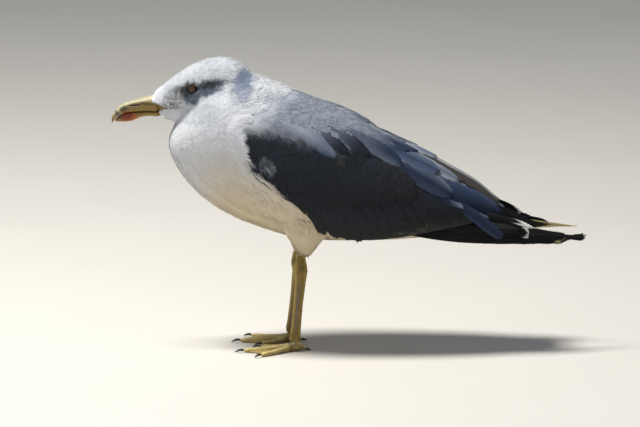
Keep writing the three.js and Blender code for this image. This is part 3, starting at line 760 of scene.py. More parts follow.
def bird_skin():
    """One skin for body, wings, legs and feet. It lies under the coat by the coat's depth."""
    body = form_mesh.copy()
    inner = form.places - form.normals * coat_depth(form.places, VERT_ON_WING)[:, None]
    # it dives under the horn at the base of the bill
    inner -= form.normals * (1.8 * (1 - ramp(-209, -204, form.places[:, 1])))[:, None]
    # the skin sinks back from each eyeball, inside the ring of its lid
    for _, mirror in SIDES:
        eye = EYE * (mirror, 1, 1)
        away = np.linalg.norm((inner - eye)[:, 1:], axis=1)
        near = (np.abs(inner[:, 0] - eye[0]) < 12) & (inner[:, 0] * mirror > 0)
        drop = np.where(near, 2.6 * (1 - ramp(4.2, 7.0, away)), 0)
        inner[:, 0] -= mirror * drop
    move_to(body, inner)
    strip = under_fringe(form.places, form.nearest(form.places)[2])
    dye(body, markings(form.places, VERT_ON_WING & ~strip))
    body.materials.append(under_skin("skin_under_down"))
    piece = shown(body, "skin")
    leather = leg_leather("scaled_leg_skin", 0.34, 0.5)
    bare_lid = leg_leather("wrinkled_lid_skin", 0.65, 0.12)
    others = [shown(leg_skin(side, mirror), f"leg_{side}", leather) for side, mirror in SIDES]
    others += [shown(lid(mirror), f"lid_{side}", bare_lid) for side, mirror in SIDES]
    for other in others:
        smooth_shaded(other.data)
    with bpy.context.temp_override(active_object=piece, selected_editable_objects=[piece, *others]):
        bpy.ops.object.join()
    settle_piece(piece, "flesh_white", *FLESH, *LEGS)


# ---- coat -------------------------------------------------------------------


def woven(name, places, quads, colours, maps, finish, normals=None):
    """A piece from arrays: places, four-cornered faces, a colour per vertex and named UV maps."""
    mesh = bpy.data.meshes.new(name)
    mesh.vertices.add(len(places))
    mesh.vertices.foreach_set("co", (places * MM).ravel())
    mesh.loops.add(quads.size)
    mesh.loops.foreach_set("vertex_index", quads.ravel().astype(np.int32))
    mesh.polygons.add(len(quads))
    mesh.polygons.foreach_set("loop_start", np.arange(0, quads.size, 4, dtype=np.int32))
    mesh.update(calc_edges=True)
    smooth_shaded(mesh)
    dye(mesh, colours)
    for map_name, spots in maps.items():
        mesh.uv_layers.new(name=map_name).data.foreach_set("uv", spots[quads.ravel()].ravel())
    if normals is not None:
        mesh.normals_split_custom_set_from_vertices(normals)
    return shown(mesh, name, finish)


def blade_fan(blades, spread, width):
    """A soft tuft, one long: narrow barbs that fan from one root, each ending in a thin point."""
    verts, quads = [], []
    for blade in range(blades):
        lean = (2 * blade / (blades - 1) - 1) + rng.normal(0, 0.08)
        turn = spread * lean
        reach = 1 - 0.2 * lean**2 - rng.uniform(0, 0.2)
        rise = rng.uniform(-0.01, 0.012)
        for share, wide in ((0.0, 0.8), (0.36, 1.0), (0.72, 0.8), (1.0, 0.1)):
            across = reach * share * math.sin(turn) + 0.14 * lean
            for edge in (-1, 1):
                verts.append((
                    across + edge * width * wide,
                    reach * share * math.cos(turn),
                    rise - 0.25 * across**2,
                ))
        start = 8 * blade
        quads += [(first, first + 1, first + 3, first + 2) for first in range(start, start + 6, 2)]
    return np.array(verts), np.array(quads)


def soft_vane(half_width, columns=3, rows=4, barbs=26):
    """A contour feather, one long: a small web that gives way to long loose barbs."""
    verts, quads = [], []
    for row in range(rows + 1):
        share = 0.74 * (1 - (1 - row / rows) ** 1.4)
        body = math.sin(math.pi / 2 * min(1.0, 0.3 + share / 0.5))
        end = math.sqrt(max(0.0, 1 - max(0.0, (share - 0.35) / 0.42) ** 2.2))
        for column in range(columns + 1):
            across = 2 * column / columns - 1
            side = across * half_width * body * max(end, 0.15)
            verts.append((side, share - 0.06 * across**2 * (share > 0.5), -0.1 * side**2 / half_width))
    for row in range(rows):
        for column in range(columns):
            corner = row * (columns + 1) + column
            quads.append((corner, corner + 1, corner + columns + 2, corner + columns + 1))
    for barb in range(barbs):
        turn = math.radians(100) * (2 * barb / (barbs - 1) - 1) + rng.normal(0, 0.08)
        out, on = math.sin(turn), math.cos(turn)
        base = (0.8 * half_width * out, 0.42 + 0.28 * on)
        reach = rng.uniform(0.12, 0.34)
        tip = (base[0] + reach * 0.22 * out + rng.normal(0, 0.01), min(1.0, base[1] + reach))
        start = len(verts)
        for place, wide in ((base, 0.02), (tip, 0.003)):
            for way in (-1, 1):
                side = place[0] + way * wide
                verts.append((side, place[1], 0.01 - 0.1 * side**2 / half_width))
        quads.append((start, start + 1, start + 3, start + 2))
    return np.array(verts), np.array(quads)


def spread_out(candidates, gaps_wanted):
    """The indices of candidates that keep their gap to those already taken."""
    cell = gaps_wanted.max()
    grid = {}
    taken = []
    keys = np.floor(candidates / cell).astype(int)
    for index, (place, key, gap) in enumerate(zip(candidates, keys, gaps_wanted)):
        around = itertools.product(*[(k - 1, k, k + 1) for k in key])
        close = (other for spot in around for other in grid.get(spot, ()))
        if all((place[0] - o[0]) ** 2 + (place[1] - o[1]) ** 2 + (place[2] - o[2]) ** 2 > gap**2
               for o in close):
            grid.setdefault(tuple(key), []).append(place)
            taken.append(index)
    return np.array(taken, int)


triangles = np.zeros(3 * len(form_mesh.loop_triangles), int)
form_mesh.loop_triangles.foreach_get("vertices", triangles)
triangles = triangles.reshape(-1, 3)
triangle_faces = np.zeros(len(triangles), int)
form_mesh.loop_triangles.foreach_get("polygon_index", triangle_faces)
corners = form.places[triangles]
AREAS = np.linalg.norm(np.cross(corners[:, 1] - corners[:, 0], corners[:, 2] - corners[:, 0]), axis=1) / 2


def every(gap):
    """The same gap between roots all over."""
    return lambda places: np.full(len(places), gap)


def roots_on(chosen, gap_at):
    """Evenly scattered roots on the form's triangles where chosen is true: places and faces."""
    share = np.where(chosen, AREAS, 0)
    mean_gap = gap_at(corners[chosen].mean(axis=1))
    wanted = (AREAS[chosen] / mean_gap**2).sum()
    picks = rng.choice(len(share), int(4.5 * wanted), p=share / share.sum())
    first, second = rng.random((2, len(picks)))
    fold = first + second > 1
    first, second = np.where(fold, 1 - first, first), np.where(fold, 1 - second, second)
    spots = corners[picks]
    places = spots[:, 0] + (spots[:, 1] - spots[:, 0]) * first[:, None]
    places += (spots[:, 2] - spots[:, 0]) * second[:, None]
    kept = spread_out(places, gap_at(places))
    return places[kept], triangle_faces[picks[kept]]


def lie_of_coat(places, faces):
    """The way feathers point at each place, before they are laid flat."""
    way = HEADINGS[beside_spine(places)].copy()
    owner = OWNER[faces]
    x, y = places.T[:2]
    # on the face they point away from the bill
    from_bill = unit(places - np.array([0, -232, 266]))
    face = 1 - ramp(-196, -160, y)
    way = mix(way, from_bill, face)
    # down the thighs, and steeply down the front of the folded wings
    thigh = np.char.startswith(owner, "thigh")
    way[thigh] = (0, 0.25, -1)
    fan = np.radians(58 - 36 * ramp(-100, 150, y))
    wing_way = np.stack([np.zeros(len(y)), np.cos(fan), -np.sin(fan)], axis=1)
    side_on = ramp(20, 50, np.abs(x))
    way = np.where(ON_WING[faces][:, None], mix(way, wing_way, side_on), way)
    return unit(way)


BAKE_PATCH = 0.003  # side of a tuft's patch on the bake's map
VANE_SHIFT = 50  # moves each tuft to its own stretch of the barbs' pattern


def plant(name, roots, faces, shapes, finish, length, lift, sink, way=None, tint=None, stray=0.12,
          on_wing=None, rounding=0.3, shades=0.02, slot="feather_white", ground=None):
    """Lays one feather or tuft at each root, following the curves of its ground to its tip."""
    count = len(roots)
    ground = ground or form
    length = np.broadcast_to(length, count) * rng.uniform(0.85, 1.15, count)
    normals = ground.face_normals[faces]
    way = lie_of_coat(roots, faces) if way is None else way
    way = unit(way + rng.normal(0, stray, way.shape))
    flat = unit(way - normals * (way * normals).sum(axis=1)[:, None])
    middle, _, _ = ground.nearest(roots + flat * (length / 2)[:, None])
    onward = unit(middle - roots)
    tips, tip_normals, tip_faces = ground.nearest(middle + onward * (length / 2)[:, None])
    knots = 2 * middle - (roots + tips) / 2
    verts = np.stack([shape[0] for shape in shapes])
    quads = shapes[0][1]
    chosen = verts[rng.integers(0, len(shapes), count)]
    across, along, height = chosen[..., 0], chosen[..., 1], chosen[..., 2]
    t = np.clip(along, 0, 1)[..., None]
    line = (1 - t) ** 2 * roots[:, None] + 2 * t * (1 - t) * knots[:, None] + t**2 * tips[:, None]
    tangent = unit((1 - t) * (knots - roots)[:, None] + t * (tips - knots)[:, None] + 1e-6)
    up = unit((1 - t) * normals[:, None] + t * tip_normals[:, None])
    beside = unit(np.cross(tangent, up))
    lift = np.broadcast_to(lift, count) * rng.uniform(0.6, 1.4, count)
    sink = np.broadcast_to(sink, count)
    raised = -sink[:, None] * (1 - along) ** 4 + lift[:, None] * along**1.5
    places = line + beside * (across * length[:, None])[..., None]
    places += up * (height * length[:, None] + raised)[..., None]
    spots = markings(line[:, quads.max() // 2], ON_WING[faces] if on_wing is None else on_wing)
    if tint is not None:
        spots = tint(spots, roots)
    spots = spots * rng.normal(1, shades, count)[:, None]
    colours = np.repeat(spots[:, None], verts.shape[1], axis=1)
    in_patch = np.stack([np.clip(across, -0.5, 0.5), along - 0.5], axis=-1)
    bake = unrolled(roots)[:, None] + BAKE_PATCH * in_patch
    down_vane = along * length[:, None] + VANE_SHIFT * rng.random((count, 1))
    vane = np.stack([across * length[:, None], down_vane], axis=-1)
    # each tuft is shaded as the rounded form under it, so that the coat looks soft
    calm = ground.soft_normals
    soft = unit((1 - t) * calm[faces][:, None] + t * calm[tip_faces][:, None])
    turned = unit(soft + beside * (rounding * np.clip(across * 2.5, -1, 1))[..., None])
    step = verts.shape[1]
    all_quads = (quads[None] + step * np.arange(count)[:, None, None]).reshape(-1, 4)
    maps = {"vane": vane.reshape(-1, 2), "OFBake": bake.reshape(-1, 2)}
    colours = np.clip(colours.reshape(-1, 3), 0, 1)
    piece = woven(name, places.reshape(-1, 3), all_quads, colours, maps, finish, turned.reshape(-1, 3))
    print(name, count, "feathers", 2 * len(all_quads), "triangles")
    settle_piece(piece, slot)


# ---- coat on head, neck and body --------------------------------------------

MIDDLES = corners.mean(axis=1)
TRIANGLE_OWNER = OWNER[triangle_faces]
WING_TRIANGLES = ON_WING[triangle_faces]
WING_GAP = gaps[[FLESH.index("wing_left"), FLESH.index("wing_right")]].min(axis=0)[triangle_faces]


def coat_length(places):
    """How long the white feathers are: shortest by the bill, longest on the belly."""
    y, z = places[:, 1], places[:, 2]
    head = 2.6 + 3.0 * ramp(-204, -170, y) + 4.6 * ramp(-162, -112, y)
    body = 11.5 + 6.5 * ramp(-170, -70, y)
    thigh = 8.5 + 8.5 * ramp(105, 150, z)
    return np.minimum(mix(head[:, None], body[:, None], 1 - ramp(226, 258, z))[:, 0], thigh)


def coat_gap(places):
    return 0.15 + 0.19 * coat_length(places)


def clear_of_eye(places, margin):
    """True where a root or tip keeps clear of the bare ring round each eye."""
    away = np.linalg.norm(places[:, 1:] - EYE[1:], axis=1)
    return (away > margin) | (np.abs(places[:, 0]) < 10)


def clear_of_bill(places):
    """True where a root keeps clear of the horn at the base of the bill."""
    high = np.array(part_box("bill_upper")[1]) / MM
    floor_of_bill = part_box("bill_lower")[0].z / MM
    middle = (floor_of_bill + high[2]) / 2
    inside = np.hypot(places[:, 0] / (high[0] - 0.4), (places[:, 2] - middle) / (high[2] - middle - 0.6))
    return (inside > 1) | (places[:, 1] > -203)


def over_bill_base(bill):
    """Roots of the short feathers that reach forward over the sides of the bill's base."""
    count = 9000
    spots = np.stack([rng.uniform(-12, 12, count), rng.uniform(-220, -199, count),
                      rng.uniform(266, 287, count)], axis=1)
    places, _, faces = bill.nearest(spots)
    front = np.interp(places[:, 2], (266, 270, 273, 275, 280), (-197, -205, -209.5, -218, -215.5))
    near = np.linalg.norm(places - spots, axis=1) < 2.5
    chosen = near & (places[:, 1] > front + 0.6) & (places[:, 1] < -201) & (gape(places) < 0.5)
    places, faces = places[chosen], faces[chosen]
    kept = spread_out(places, np.full(len(places), 0.55))
    return places[kept], faces[kept]


def coat_of(region, chosen, blades, width, lift, **ways):
    """Plants a region of white coat in two pieces, one for each side."""
    shapes = [blade_fan(blades, 0.55, width) for _ in range(8)]
    for side, mirror in SIDES:
        roots, faces = roots_on(chosen & (MIDDLES[:, 0] * mirror > 0), coat_gap)
        length = coat_length(roots)
        way = lie_of_coat(roots, faces)
        ends = roots + way * length[:, None]
        open_to = clear_of_eye(roots, 5.1) & clear_of_eye(ends, 4.4)
        open_to &= clear_of_eye((roots + ends) / 2, 4.6)
        open_to &= clear_of_bill(roots) & (gape(roots) < 0.5)
        roots, faces, length, way = roots[open_to], faces[open_to], length[open_to], way[open_to]
        sink = coat_depth(roots, np.zeros(len(roots), bool))
        plant(f"coat_{region}_{side}", roots, faces, shapes, WHITE_DOWN, length, lift, sink,
              way=way, **ways)


def grey_back(places):
    """True on the part of the body that wears the grey mantle."""
    return (above_back(places) > -3) & (behind_collar(places) > -2) & (places[:, 1] < 60)


def white_coat():
    """White coat of head, base of the bill, neck, breast, belly and thighs."""
    body = ~WING_TRIANGLES
    grey = grey_back(MIDDLES) & body
    head = body & (TRIANGLE_OWNER == "head")
    neck = body & (TRIANGLE_OWNER == "neck") & ~grey
    thigh = body & np.char.startswith(TRIANGLE_OWNER, "thigh")
    covered = (MIDDLES[:, 1] > 16) & (MIDDLES[:, 2] > 148)
    rest = body & ~grey & ~head & ~neck & ~thigh & ~covered
    breast = rest & (MIDDLES[:, 1] < -60)
    coat_of("head", head, 5, 0.085, 0.07, rounding=0.12, stray=0.06)
    bill = Surface(remeshed(["head", "bill_upper"], 0.9, 4, swell=0.35))
    roots, faces = over_bill_base(bill)
    way = np.stack([0.1 * np.sign(roots[:, 0]), np.ones(len(roots)), 0.2 + 0 * roots[:, 0]], axis=1)
    plant("coat_bill_base", roots, faces, [blade_fan(5, 0.5, 0.07) for _ in range(6)], WHITE_DOWN, 3.6,
          0.12, 0.3, way=way, ground=bill, on_wing=np.zeros(len(roots), bool))
    coat_of("neck", neck, 9, 0.05, 0.1, rounding=0.12, stray=0.06)
    coat_of("breast", breast, 10, 0.04, 0.12, rounding=0.12, stray=0.06)
    coat_of("belly", rest & ~breast, 10, 0.04, 0.15, rounding=0.12, stray=0.06)
    coat_of("thigh", thigh, 8, 0.04, 0.25)


BODY_GAP = BODY_SIDE[triangle_faces]
UNDER_FRINGE = under_fringe(MIDDLES, triangle_faces)


def flank_fringe():
    """Longer white tufts that spill over the front edge of each folded wing."""
    shapes = [blade_fan(11, 0.2, 0.018) for _ in range(10)]
    y, z = MIDDLES[:, 1], MIDDLES[:, 2]
    seam = np.where(WING_TRIANGLES, BODY_GAP < 5, WING_GAP < 7)
    edge = seam & (z < fringe_top(MIDDLES)) & (y < 4) & (np.abs(MIDDLES[:, 0]) > 20)
    edge &= ~np.char.startswith(TRIANGLE_OWNER, "thigh")
    roots, faces = roots_on(edge, every(1.35))
    sweep = rng.uniform(-0.75, -0.25, len(roots))
    way = np.stack([0.1 * np.sign(roots[:, 0]), np.ones(len(roots)), sweep], axis=1)
    plant("flank_fringe", roots, faces, shapes, WHITE_DOWN, rng.uniform(8, 14, len(roots)), 0.9, 0.3,
          way=way, stray=0.12, on_wing=np.zeros(len(roots), bool))
    puff = WING_TRIANGLES & (np.hypot((y + 103) / 15, (z - 216) / 10) < 1) & (np.abs(MIDDLES[:, 0]) > 24)
    roots, faces = roots_on(puff, every(2.0))
    way = np.tile((0, 0.75, -0.7), (len(roots), 1))
    behind = np.hypot((roots[:, 1] + 96) / 13, (roots[:, 2] - 211) / 10)
    share = np.clip(0.3 + 0.45 * behind + rng.normal(0, 0.16, len(roots)), 0.25, 1)
    # painted shade: the white puffs are grey as in shade, darkening to the coverts' shaded tone towards
    # their back
    plant("wrist_puffs", roots, faces, shapes, WHITE_DOWN, 15.0, 0.35, 0.4, way=way, stray=0.06,
          on_wing=np.zeros(len(roots), bool), tint=lambda tones, _: mix(FOLD_SHADE, COVERT_IN_SHADE, share))


# ---- grey feathers of back and wings ----------------------------------------


def grey_coat():
    """Soft overlapping feathers over the mantle, and small coverts over the wings, darkened with painted
    shade.
    """
    vanes = [soft_vane(0.24) for _ in range(10)]
    wisps = [blade_fan(9, 0.5, 0.02) for _ in range(10)]
    back = grey_back(MIDDLES) & ~WING_TRIANGLES
    # height above the line where the wing's painted shade begins
    edge = above_wing_shade(MIDDLES)
    y, z = MIDDLES[:, 1], MIDDLES[:, 2]
    for side, mirror in SIDES:
        facing = form.face_normals[triangle_faces][:, 0] * mirror
        here = MIDDLES[:, 0] * mirror > 0
        upper = WING_TRIANGLES & here & (edge > -6) & (y < 50) & ((y < -10) | (np.abs(MIDDLES[:, 0]) < 30))
        upper &= ~UNDER_FRINGE
        roots, faces = roots_on(upper | (back & here), every(3.3))
        length = 18 + 8 * ramp(-100, 20, roots[:, 1])
        # painted shade: the mantle feathers darken towards the back into the coverts' shaded tone
        plant(f"coat_mantle_{side}", roots, faces, vanes, GREY_DOWN, length, 0.12, 1.6, stray=0.035,
              slot="feather_grey", on_wing=ON_WING[faces], shades=0.05, rounding=0.1,
              tint=lambda tones, spots: mix(tones, COVERT_IN_SHADE, 0.6 * ramp(4, 26, spots[:, 1])))
        small = WING_TRIANGLES & here & (facing > 0.1) & (z > 182) & (edge <= -2) & (y < 60)
        small &= ~UNDER_FRINGE
        roots, faces = roots_on(small, every(4.2))
        plant(f"coat_wing_{side}", roots, faces, vanes, GREY_DOWN, 20.0, 0.08, 0.9, stray=0.05,
              slot="feather_grey", on_wing=np.ones(len(roots), bool), shades=0.04, rounding=0.12)
        hem = WING_TRIANGLES & here & (np.abs(edge + 2) < 9) & (y < -30) & ~UNDER_FRINGE
        roots, faces = roots_on(hem, every(2.6))
        way = np.stack([0 * roots[:, 0], np.full(len(roots), 0.7), -np.ones(len(roots))], axis=1)
        plant(f"mantle_hem_{side}", roots, faces, wisps, GREY_DOWN, 14.0, 0.4, 0.4, stray=0.1, way=way,
              slot="feather_grey", on_wing=np.ones(len(roots), bool), shades=0.08)


# ---- laid flight feathers and coverts ---------------------------------------


class Sheet:
    """A smooth surface as heights over a grid of places, carried on past its edges."""

    STEP = 4.0

    def __init__(self, tree, first, second, lift, down):
        self.first, self.second = np.arange(*first, self.STEP), np.arange(*second, self.STEP)
        grid = np.full((len(self.first), len(self.second)), np.nan)
        axis = np.abs(down).argmax()
        for i, a in enumerate(self.first):
            for j, b in enumerate(self.second):
                place = tree.ray_cast(lift(a, b), Vector(down))[0]
                if place is not None and place[axis] > 4:
                    grid[i, j] = place[axis]
        while np.isnan(grid).any():
            edge = np.pad(grid, 1, constant_values=np.nan)
            around = np.stack([edge[1 + a : 1 + a + grid.shape[0], 1 + b : 1 + b + grid.shape[1]]
                               for a in (-1, 0, 1) for b in (-1, 0, 1)])
            known = ~np.isnan(around)
            mean = np.where(known, around, 0).sum(axis=0) / np.maximum(known.sum(axis=0), 1)
            grid = np.where(np.isnan(grid) & known.any(axis=0), mean, grid)
        for _ in range(5):
            edge = np.pad(grid, 1, mode="edge")
            grid = (2 * grid + edge[:-2, 1:-1] + edge[2:, 1:-1] + edge[1:-1, :-2] + edge[1:-1, 2:]) / 6
        self.grid = grid

    def height(self, a, b):
        i = np.clip((a - self.first[0]) / self.STEP, 0, len(self.first) - 1.001)
        j = np.clip((b - self.second[0]) / self.STEP, 0, len(self.second) - 1.001)
        row, column = i.astype(int), j.astype(int)
        u, v = i - row, j - column
        near = self.grid[row, column] * (1 - u) + self.grid[row + 1, column] * u
        far = self.grid[row, column + 1] * (1 - u) + self.grid[row + 1, column + 1] * u
        return near * (1 - v) + far * v

    def slopes(self, a, b):
        along = (self.height(a + 4, b) - self.height(a - 4, b)) / 8
        return along, (self.height(a, b + 4) - self.height(a, b - 4)) / 8


class SideSheet(Sheet):
    """The outer side of the folded left wing, with places given as (y, z)."""

    def __init__(self):
        super().__init__(node_trees[FLESH.index("wing_left")], (-150, 216), (96, 304),
                         lambda a, b: Vector((200, a, b)), (-1, 0, 0))

    def lay(self, y, z):
        slope_y, slope_z = self.slopes(y, z)
        places = np.stack([self.height(y, z), y, z], axis=-1)
        return places, unit(np.stack([np.ones_like(y), -slope_y, -slope_z], axis=-1))


class BackSheet(Sheet):
    """The back and closed wings from above, with places given as (y, x)."""

    def __init__(self):
        super().__init__(form.tree, (-120, 200), (-44, 48), lambda a, b: Vector((b, a, 400)), (0, 0, -1))

    def lay(self, y, x):
        slope_y, slope_x = self.slopes(y, x)
        places = np.stack([x, y, self.height(y, x)], axis=-1)
        return places, unit(np.stack([-slope_x, -slope_y, np.ones_like(y)], axis=-1))


COLUMNS = np.array([-1, -0.86, -0.55, -0.1, 0, 0.1, 0.55, 0.86, 1])


def in_cell(number, across, share):
    """Places in a vane's own cell of the bake's map, from shares of its length and width."""
    return (np.array([number % across, number // across]) + 0.06 + 0.88 * share) / across


def reach_of(sides, half):
    """How far each column of a vane lies from the shaft, in millimetres."""
    return np.where(COLUMNS[None, :] < 0, sides[:, :1], sides[:, 1:]) * COLUMNS[None, :] * half


def vane_outline(stations, blunt, fray, waist=None, point=None):
    """Half widths of a long feather from root to tip, for each side of its shaft."""
    share = np.linspace(0, 1, stations) ** 0.8
    body = np.sin(math.pi / 2 * np.minimum(1, 0.3 + share / 0.55))
    past = np.maximum(0, (share - blunt) / (1 - blunt))
    end = (1 - past) ** point if point else np.sqrt(np.maximum(0, 1 - past**2.2))
    outline = body * np.maximum(end, 0.04)
    sides = np.stack([outline, outline], axis=1)
    for side in (0, 1):
        for _ in range(rng.integers(0, 3)):
            sides[rng.integers(stations // 3, stations - 1), side] *= rng.uniform(0.84, 0.95)
    sides *= 1 - fray * rng.random(sides.shape) * share[:, None] ** 3
    if waist:
        place, depth = waist
        sides *= 1 - depth * np.exp(-(((share - place) / 0.035) ** 2))[:, None]
    return share, sides


def vane_colours(share, tone, tip_tone=None, tip_from=0.9, edge_tone=None, shaft_tone=None, spread=0.06,
                 bars=(), edges=(0.5, 0.5), soft=0.04, root_tone=None):
    """Colours over a feather: its web, tip, edges and shaft."""
    colours = np.broadcast_to(tone, (len(share), len(COLUMNS), 3)).copy()
    if root_tone is not None:
        colours = mix(colours, root_tone, (1 - ramp(0.35, 0.85, share))[:, None] + 0 * COLUMNS)
    colours *= rng.uniform(1 - spread, 1 + spread)
    # edge_tone is laid along each side by its share in edges: with the pale tones it is a real fringe, and
    # with the lit tones painted light on a feather's upper side
    rim = np.abs(COLUMNS) ** 1.6 * np.where(COLUMNS < 0, edges[0], edges[1])
    edge = rim[None, :] * ramp(0.1, 0.4, share)[:, None]
    if edge_tone is not None:
        colours = mix(colours, edge_tone, edge)
    if tip_tone is not None:
        curve = share[:, None] + 0.1 * COLUMNS[None, :] ** 2
        colours = mix(colours, tip_tone, ramp(tip_from - soft, tip_from + soft, curve))
    for start, end, bar_tone in bars:
        along = (share[:, None] - (start + end) / 2) / (end - start) - 0.3 * COLUMNS[None, :]
        away = np.hypot(2 * along, (COLUMNS[None, :] + 0.2) / 0.75) + rng.normal(0, 0.12, along.shape)
        colours = mix(colours, bar_tone, 1 - ramp(0.7, 1.2, away))
    if shaft_tone is not None:
        shaft = (COLUMNS == 0)[None, :] * np.ones((len(share), 1))
        colours = mix(colours, shaft_tone, 0.6 * shaft)
    return colours


def laid_vane(sheet, root, tip, half, lift, *, bow=0.0, roll=0.0, blunt=0.62, fray=0.0, stations=16,
              hugging=False, camber=0.09, **look):
    """One feather on a sheet, from root to tip in the sheet's own two directions."""
    share, sides = vane_outline(stations, blunt, fray)
    root, tip = np.array(root, float), np.array(tip, float)
    axis = tip - root
    length = np.hypot(*axis)
    axis /= length
    upward = np.array([-axis[1], axis[0]])
    bend = bow * np.sin(math.pi * share)
    middle = root + np.outer(share * length, axis) + bend[:, None] * upward
    reach = reach_of(sides, half)
    first = middle[:, :1] + reach * upward[0]
    second = middle[:, 1:] + reach * upward[1]
    places, normal = sheet.lay(first, second)
    raised = lift[0] + (lift[1] - lift[0]) * share[:, None]
    raised = raised - camber * half * COLUMNS[None, :] ** 2 - roll * COLUMNS[None, :]
    raised = raised + 0.2 * (COLUMNS == 0)[None, :]
    if hugging:
        ground, up, _ = form.nearest(places.reshape(-1, 3))
        places = ground.reshape(places.shape)
        normal = up.reshape(places.shape)
    places = places + normal * raised[..., None]
    vane = np.stack([reach, share[:, None] * length + 0 * reach + 60 * rng.random()], axis=-1)
    faded = 1 + 0.09 * mottle(places.reshape(-1, 3), np.array([20.0, 7.0, 7.0]), 51)
    return places, vane_colours(share, **look) * faded.reshape(*reach.shape, 1), vane


def free_vane(root, bend, tip, across, half, *, blunt=0.5, fray=0.0, stations=22, camber=0.1, waist=None,
              point=None, **look):
    """One feather that stands free of the body, on a curve through three places."""
    share, sides = vane_outline(stations, blunt, fray, waist, point)
    root, bend, tip = (np.array(place, float) for place in (root, bend, tip))
    knot = 2 * bend - (root + tip) / 2
    t = share[:, None]
    middle = (1 - t) ** 2 * root + 2 * t * (1 - t) * knot + t**2 * tip
    tangent = unit((1 - t) * (knot - root) + t * (tip - knot))
    beside = unit(np.array(across) - tangent * (tangent @ np.array(across))[:, None])
    normal = np.cross(tangent, beside)
    reach = reach_of(sides, half)
    raised = -camber * half * COLUMNS[None, :] ** 2 + 0.2 * (COLUMNS == 0)[None, :]
    raised = raised + 0 * reach
    places = middle[:, None] + beside[:, None] * reach[..., None] + normal[:, None] * raised[..., None]
    length = np.linalg.norm(np.diff([root, bend, tip], axis=0), axis=1).sum()
    vane = np.stack([reach, t * length + 0 * reach + 60 * rng.random()], axis=-1)
    return places, vane_colours(share, **look), vane


BARB_GAP = 0.75


def fringe(vane, reach, number, across):
    """Loose barbs along both edges of a vane, each a thin slip that slants back from the shaft."""
    places, colours, spots = vane
    rows = len(places)
    shaft = unit(np.gradient(places[:, len(COLUMNS) // 2], axis=0))
    found = []
    for edge, inner in ((0, 1), (-1, -2)):
        rim = places[:, edge]
        along = np.concatenate([[0], np.cumsum(np.linalg.norm(np.diff(rim, axis=0), axis=1))])
        count = int(along[-1] * 0.75 / BARB_GAP)
        at = np.interp(rng.uniform(0.25, 0.995, count) * along[-1], along, np.arange(rows))
        low = np.minimum(at.astype(int), rows - 2)
        part = (at - low)[:, None]

        def sample(column):
            return column[low] * (1 - part) + column[low + 1] * part

        base = 0.4 * sample(places[:, inner]) + 0.6 * sample(rim)
        outward = unit(sample(rim) - sample(places[:, inner]))
        onward = unit(sample(shaft) + 0.4 * outward)
        wide = unit(sample(np.gradient(rim, axis=0))) * 0.42
        tips = base + onward * (reach * rng.uniform(0.4, 1.2, count))[:, None]
        slips = np.stack([base - wide, base + wide, tips + 0.15 * wide, tips - 0.15 * wide], axis=1)
        tone = sample(colours[:, edge]) * rng.normal(1, 0.05, count)[:, None]
        spot = np.stack([np.full(count, float(edge == -1)), at / (rows - 1)], axis=1)[:, ::-1]
        found.append((slips, np.repeat(tone[:, None], 4, axis=1),
                      np.repeat(sample(spots[:, edge])[:, None], 4, axis=1),
                      np.repeat(in_cell(number, across, spot)[:, None], 4, axis=1)))
    return [np.concatenate(parts).reshape(-1, parts[0].shape[-1]) for parts in zip(*found)]


def fringe_piece(name, vanes, reach, finish, slot, mirror=1):
    """The loose barbs of a row of vanes, as one piece."""
    across = math.ceil(math.sqrt(len(vanes)))
    slips = [fringe(vane, reach, number, across) for number, vane in enumerate(vanes)]
    places, colours, spots, bake = (np.concatenate(parts) for parts in zip(*slips))
    quads = np.arange(len(places)).reshape(-1, 4)
    piece = woven(name, places * (mirror, 1, 1), quads, np.clip(colours, 0, 1),
                  {"vane": spots, "OFBake": bake}, finish)
    settle_piece(piece, slot)


def feather_piece(name, vanes, finish, slot, mirror=1, thickness=0.2, replaced=()):
    """Joins vanes into one piece with thin walls. Each has its own cell of the bake's map."""
    across = math.ceil(math.sqrt(len(vanes)))
    parts = {"places": [], "colours": [], "vane": [], "bake": [], "quads": []}
    start = 0
    for index, (places, colours, vane) in enumerate(vanes):
        rows, columns = places.shape[:2]
        shares = np.meshgrid(np.linspace(0, 1, rows), np.linspace(0, 1, columns), indexing="ij")
        corner = (np.arange(rows - 1)[:, None] * columns + np.arange(columns - 1)).ravel() + start
        quads = np.stack([corner, corner + 1, corner + columns + 1, corner + columns], axis=1)
        parts["quads"].append(quads[:, ::-1] if mirror > 0 else quads)
        parts["places"].append(places.reshape(-1, 3) * (mirror, 1, 1))
        parts["colours"].append(colours.reshape(-1, 3))
        parts["vane"].append(vane.reshape(-1, 2))
        parts["bake"].append(in_cell(index, across, np.stack(shares, -1)).reshape(-1, 2))
        start += rows * columns
    joined = {key: np.concatenate(value) for key, value in parts.items()}
    maps = {"vane": joined["vane"], "OFBake": joined["bake"]}
    piece = woven(name, joined["places"], joined["quads"], np.clip(joined["colours"], 0, 1), maps, finish)
    wall = piece.modifiers.new("wall", "SOLIDIFY")
    wall.thickness = thickness * MM
    wall.offset = -1
    settle_piece(piece, slot, *replaced)


def along_row(count, *stops):
    """Evenly spaced values through the stops of a row, from front to back."""
    at = np.linspace(0, len(stops) - 1, count)
    table = np.array(stops, float).reshape(len(stops), -1)
    return np.stack([np.interp(at, range(len(stops)), column) for column in table.T], axis=1)


BUFF = srgb("33332F")
LOBE_GREY = srgb("5F687A")
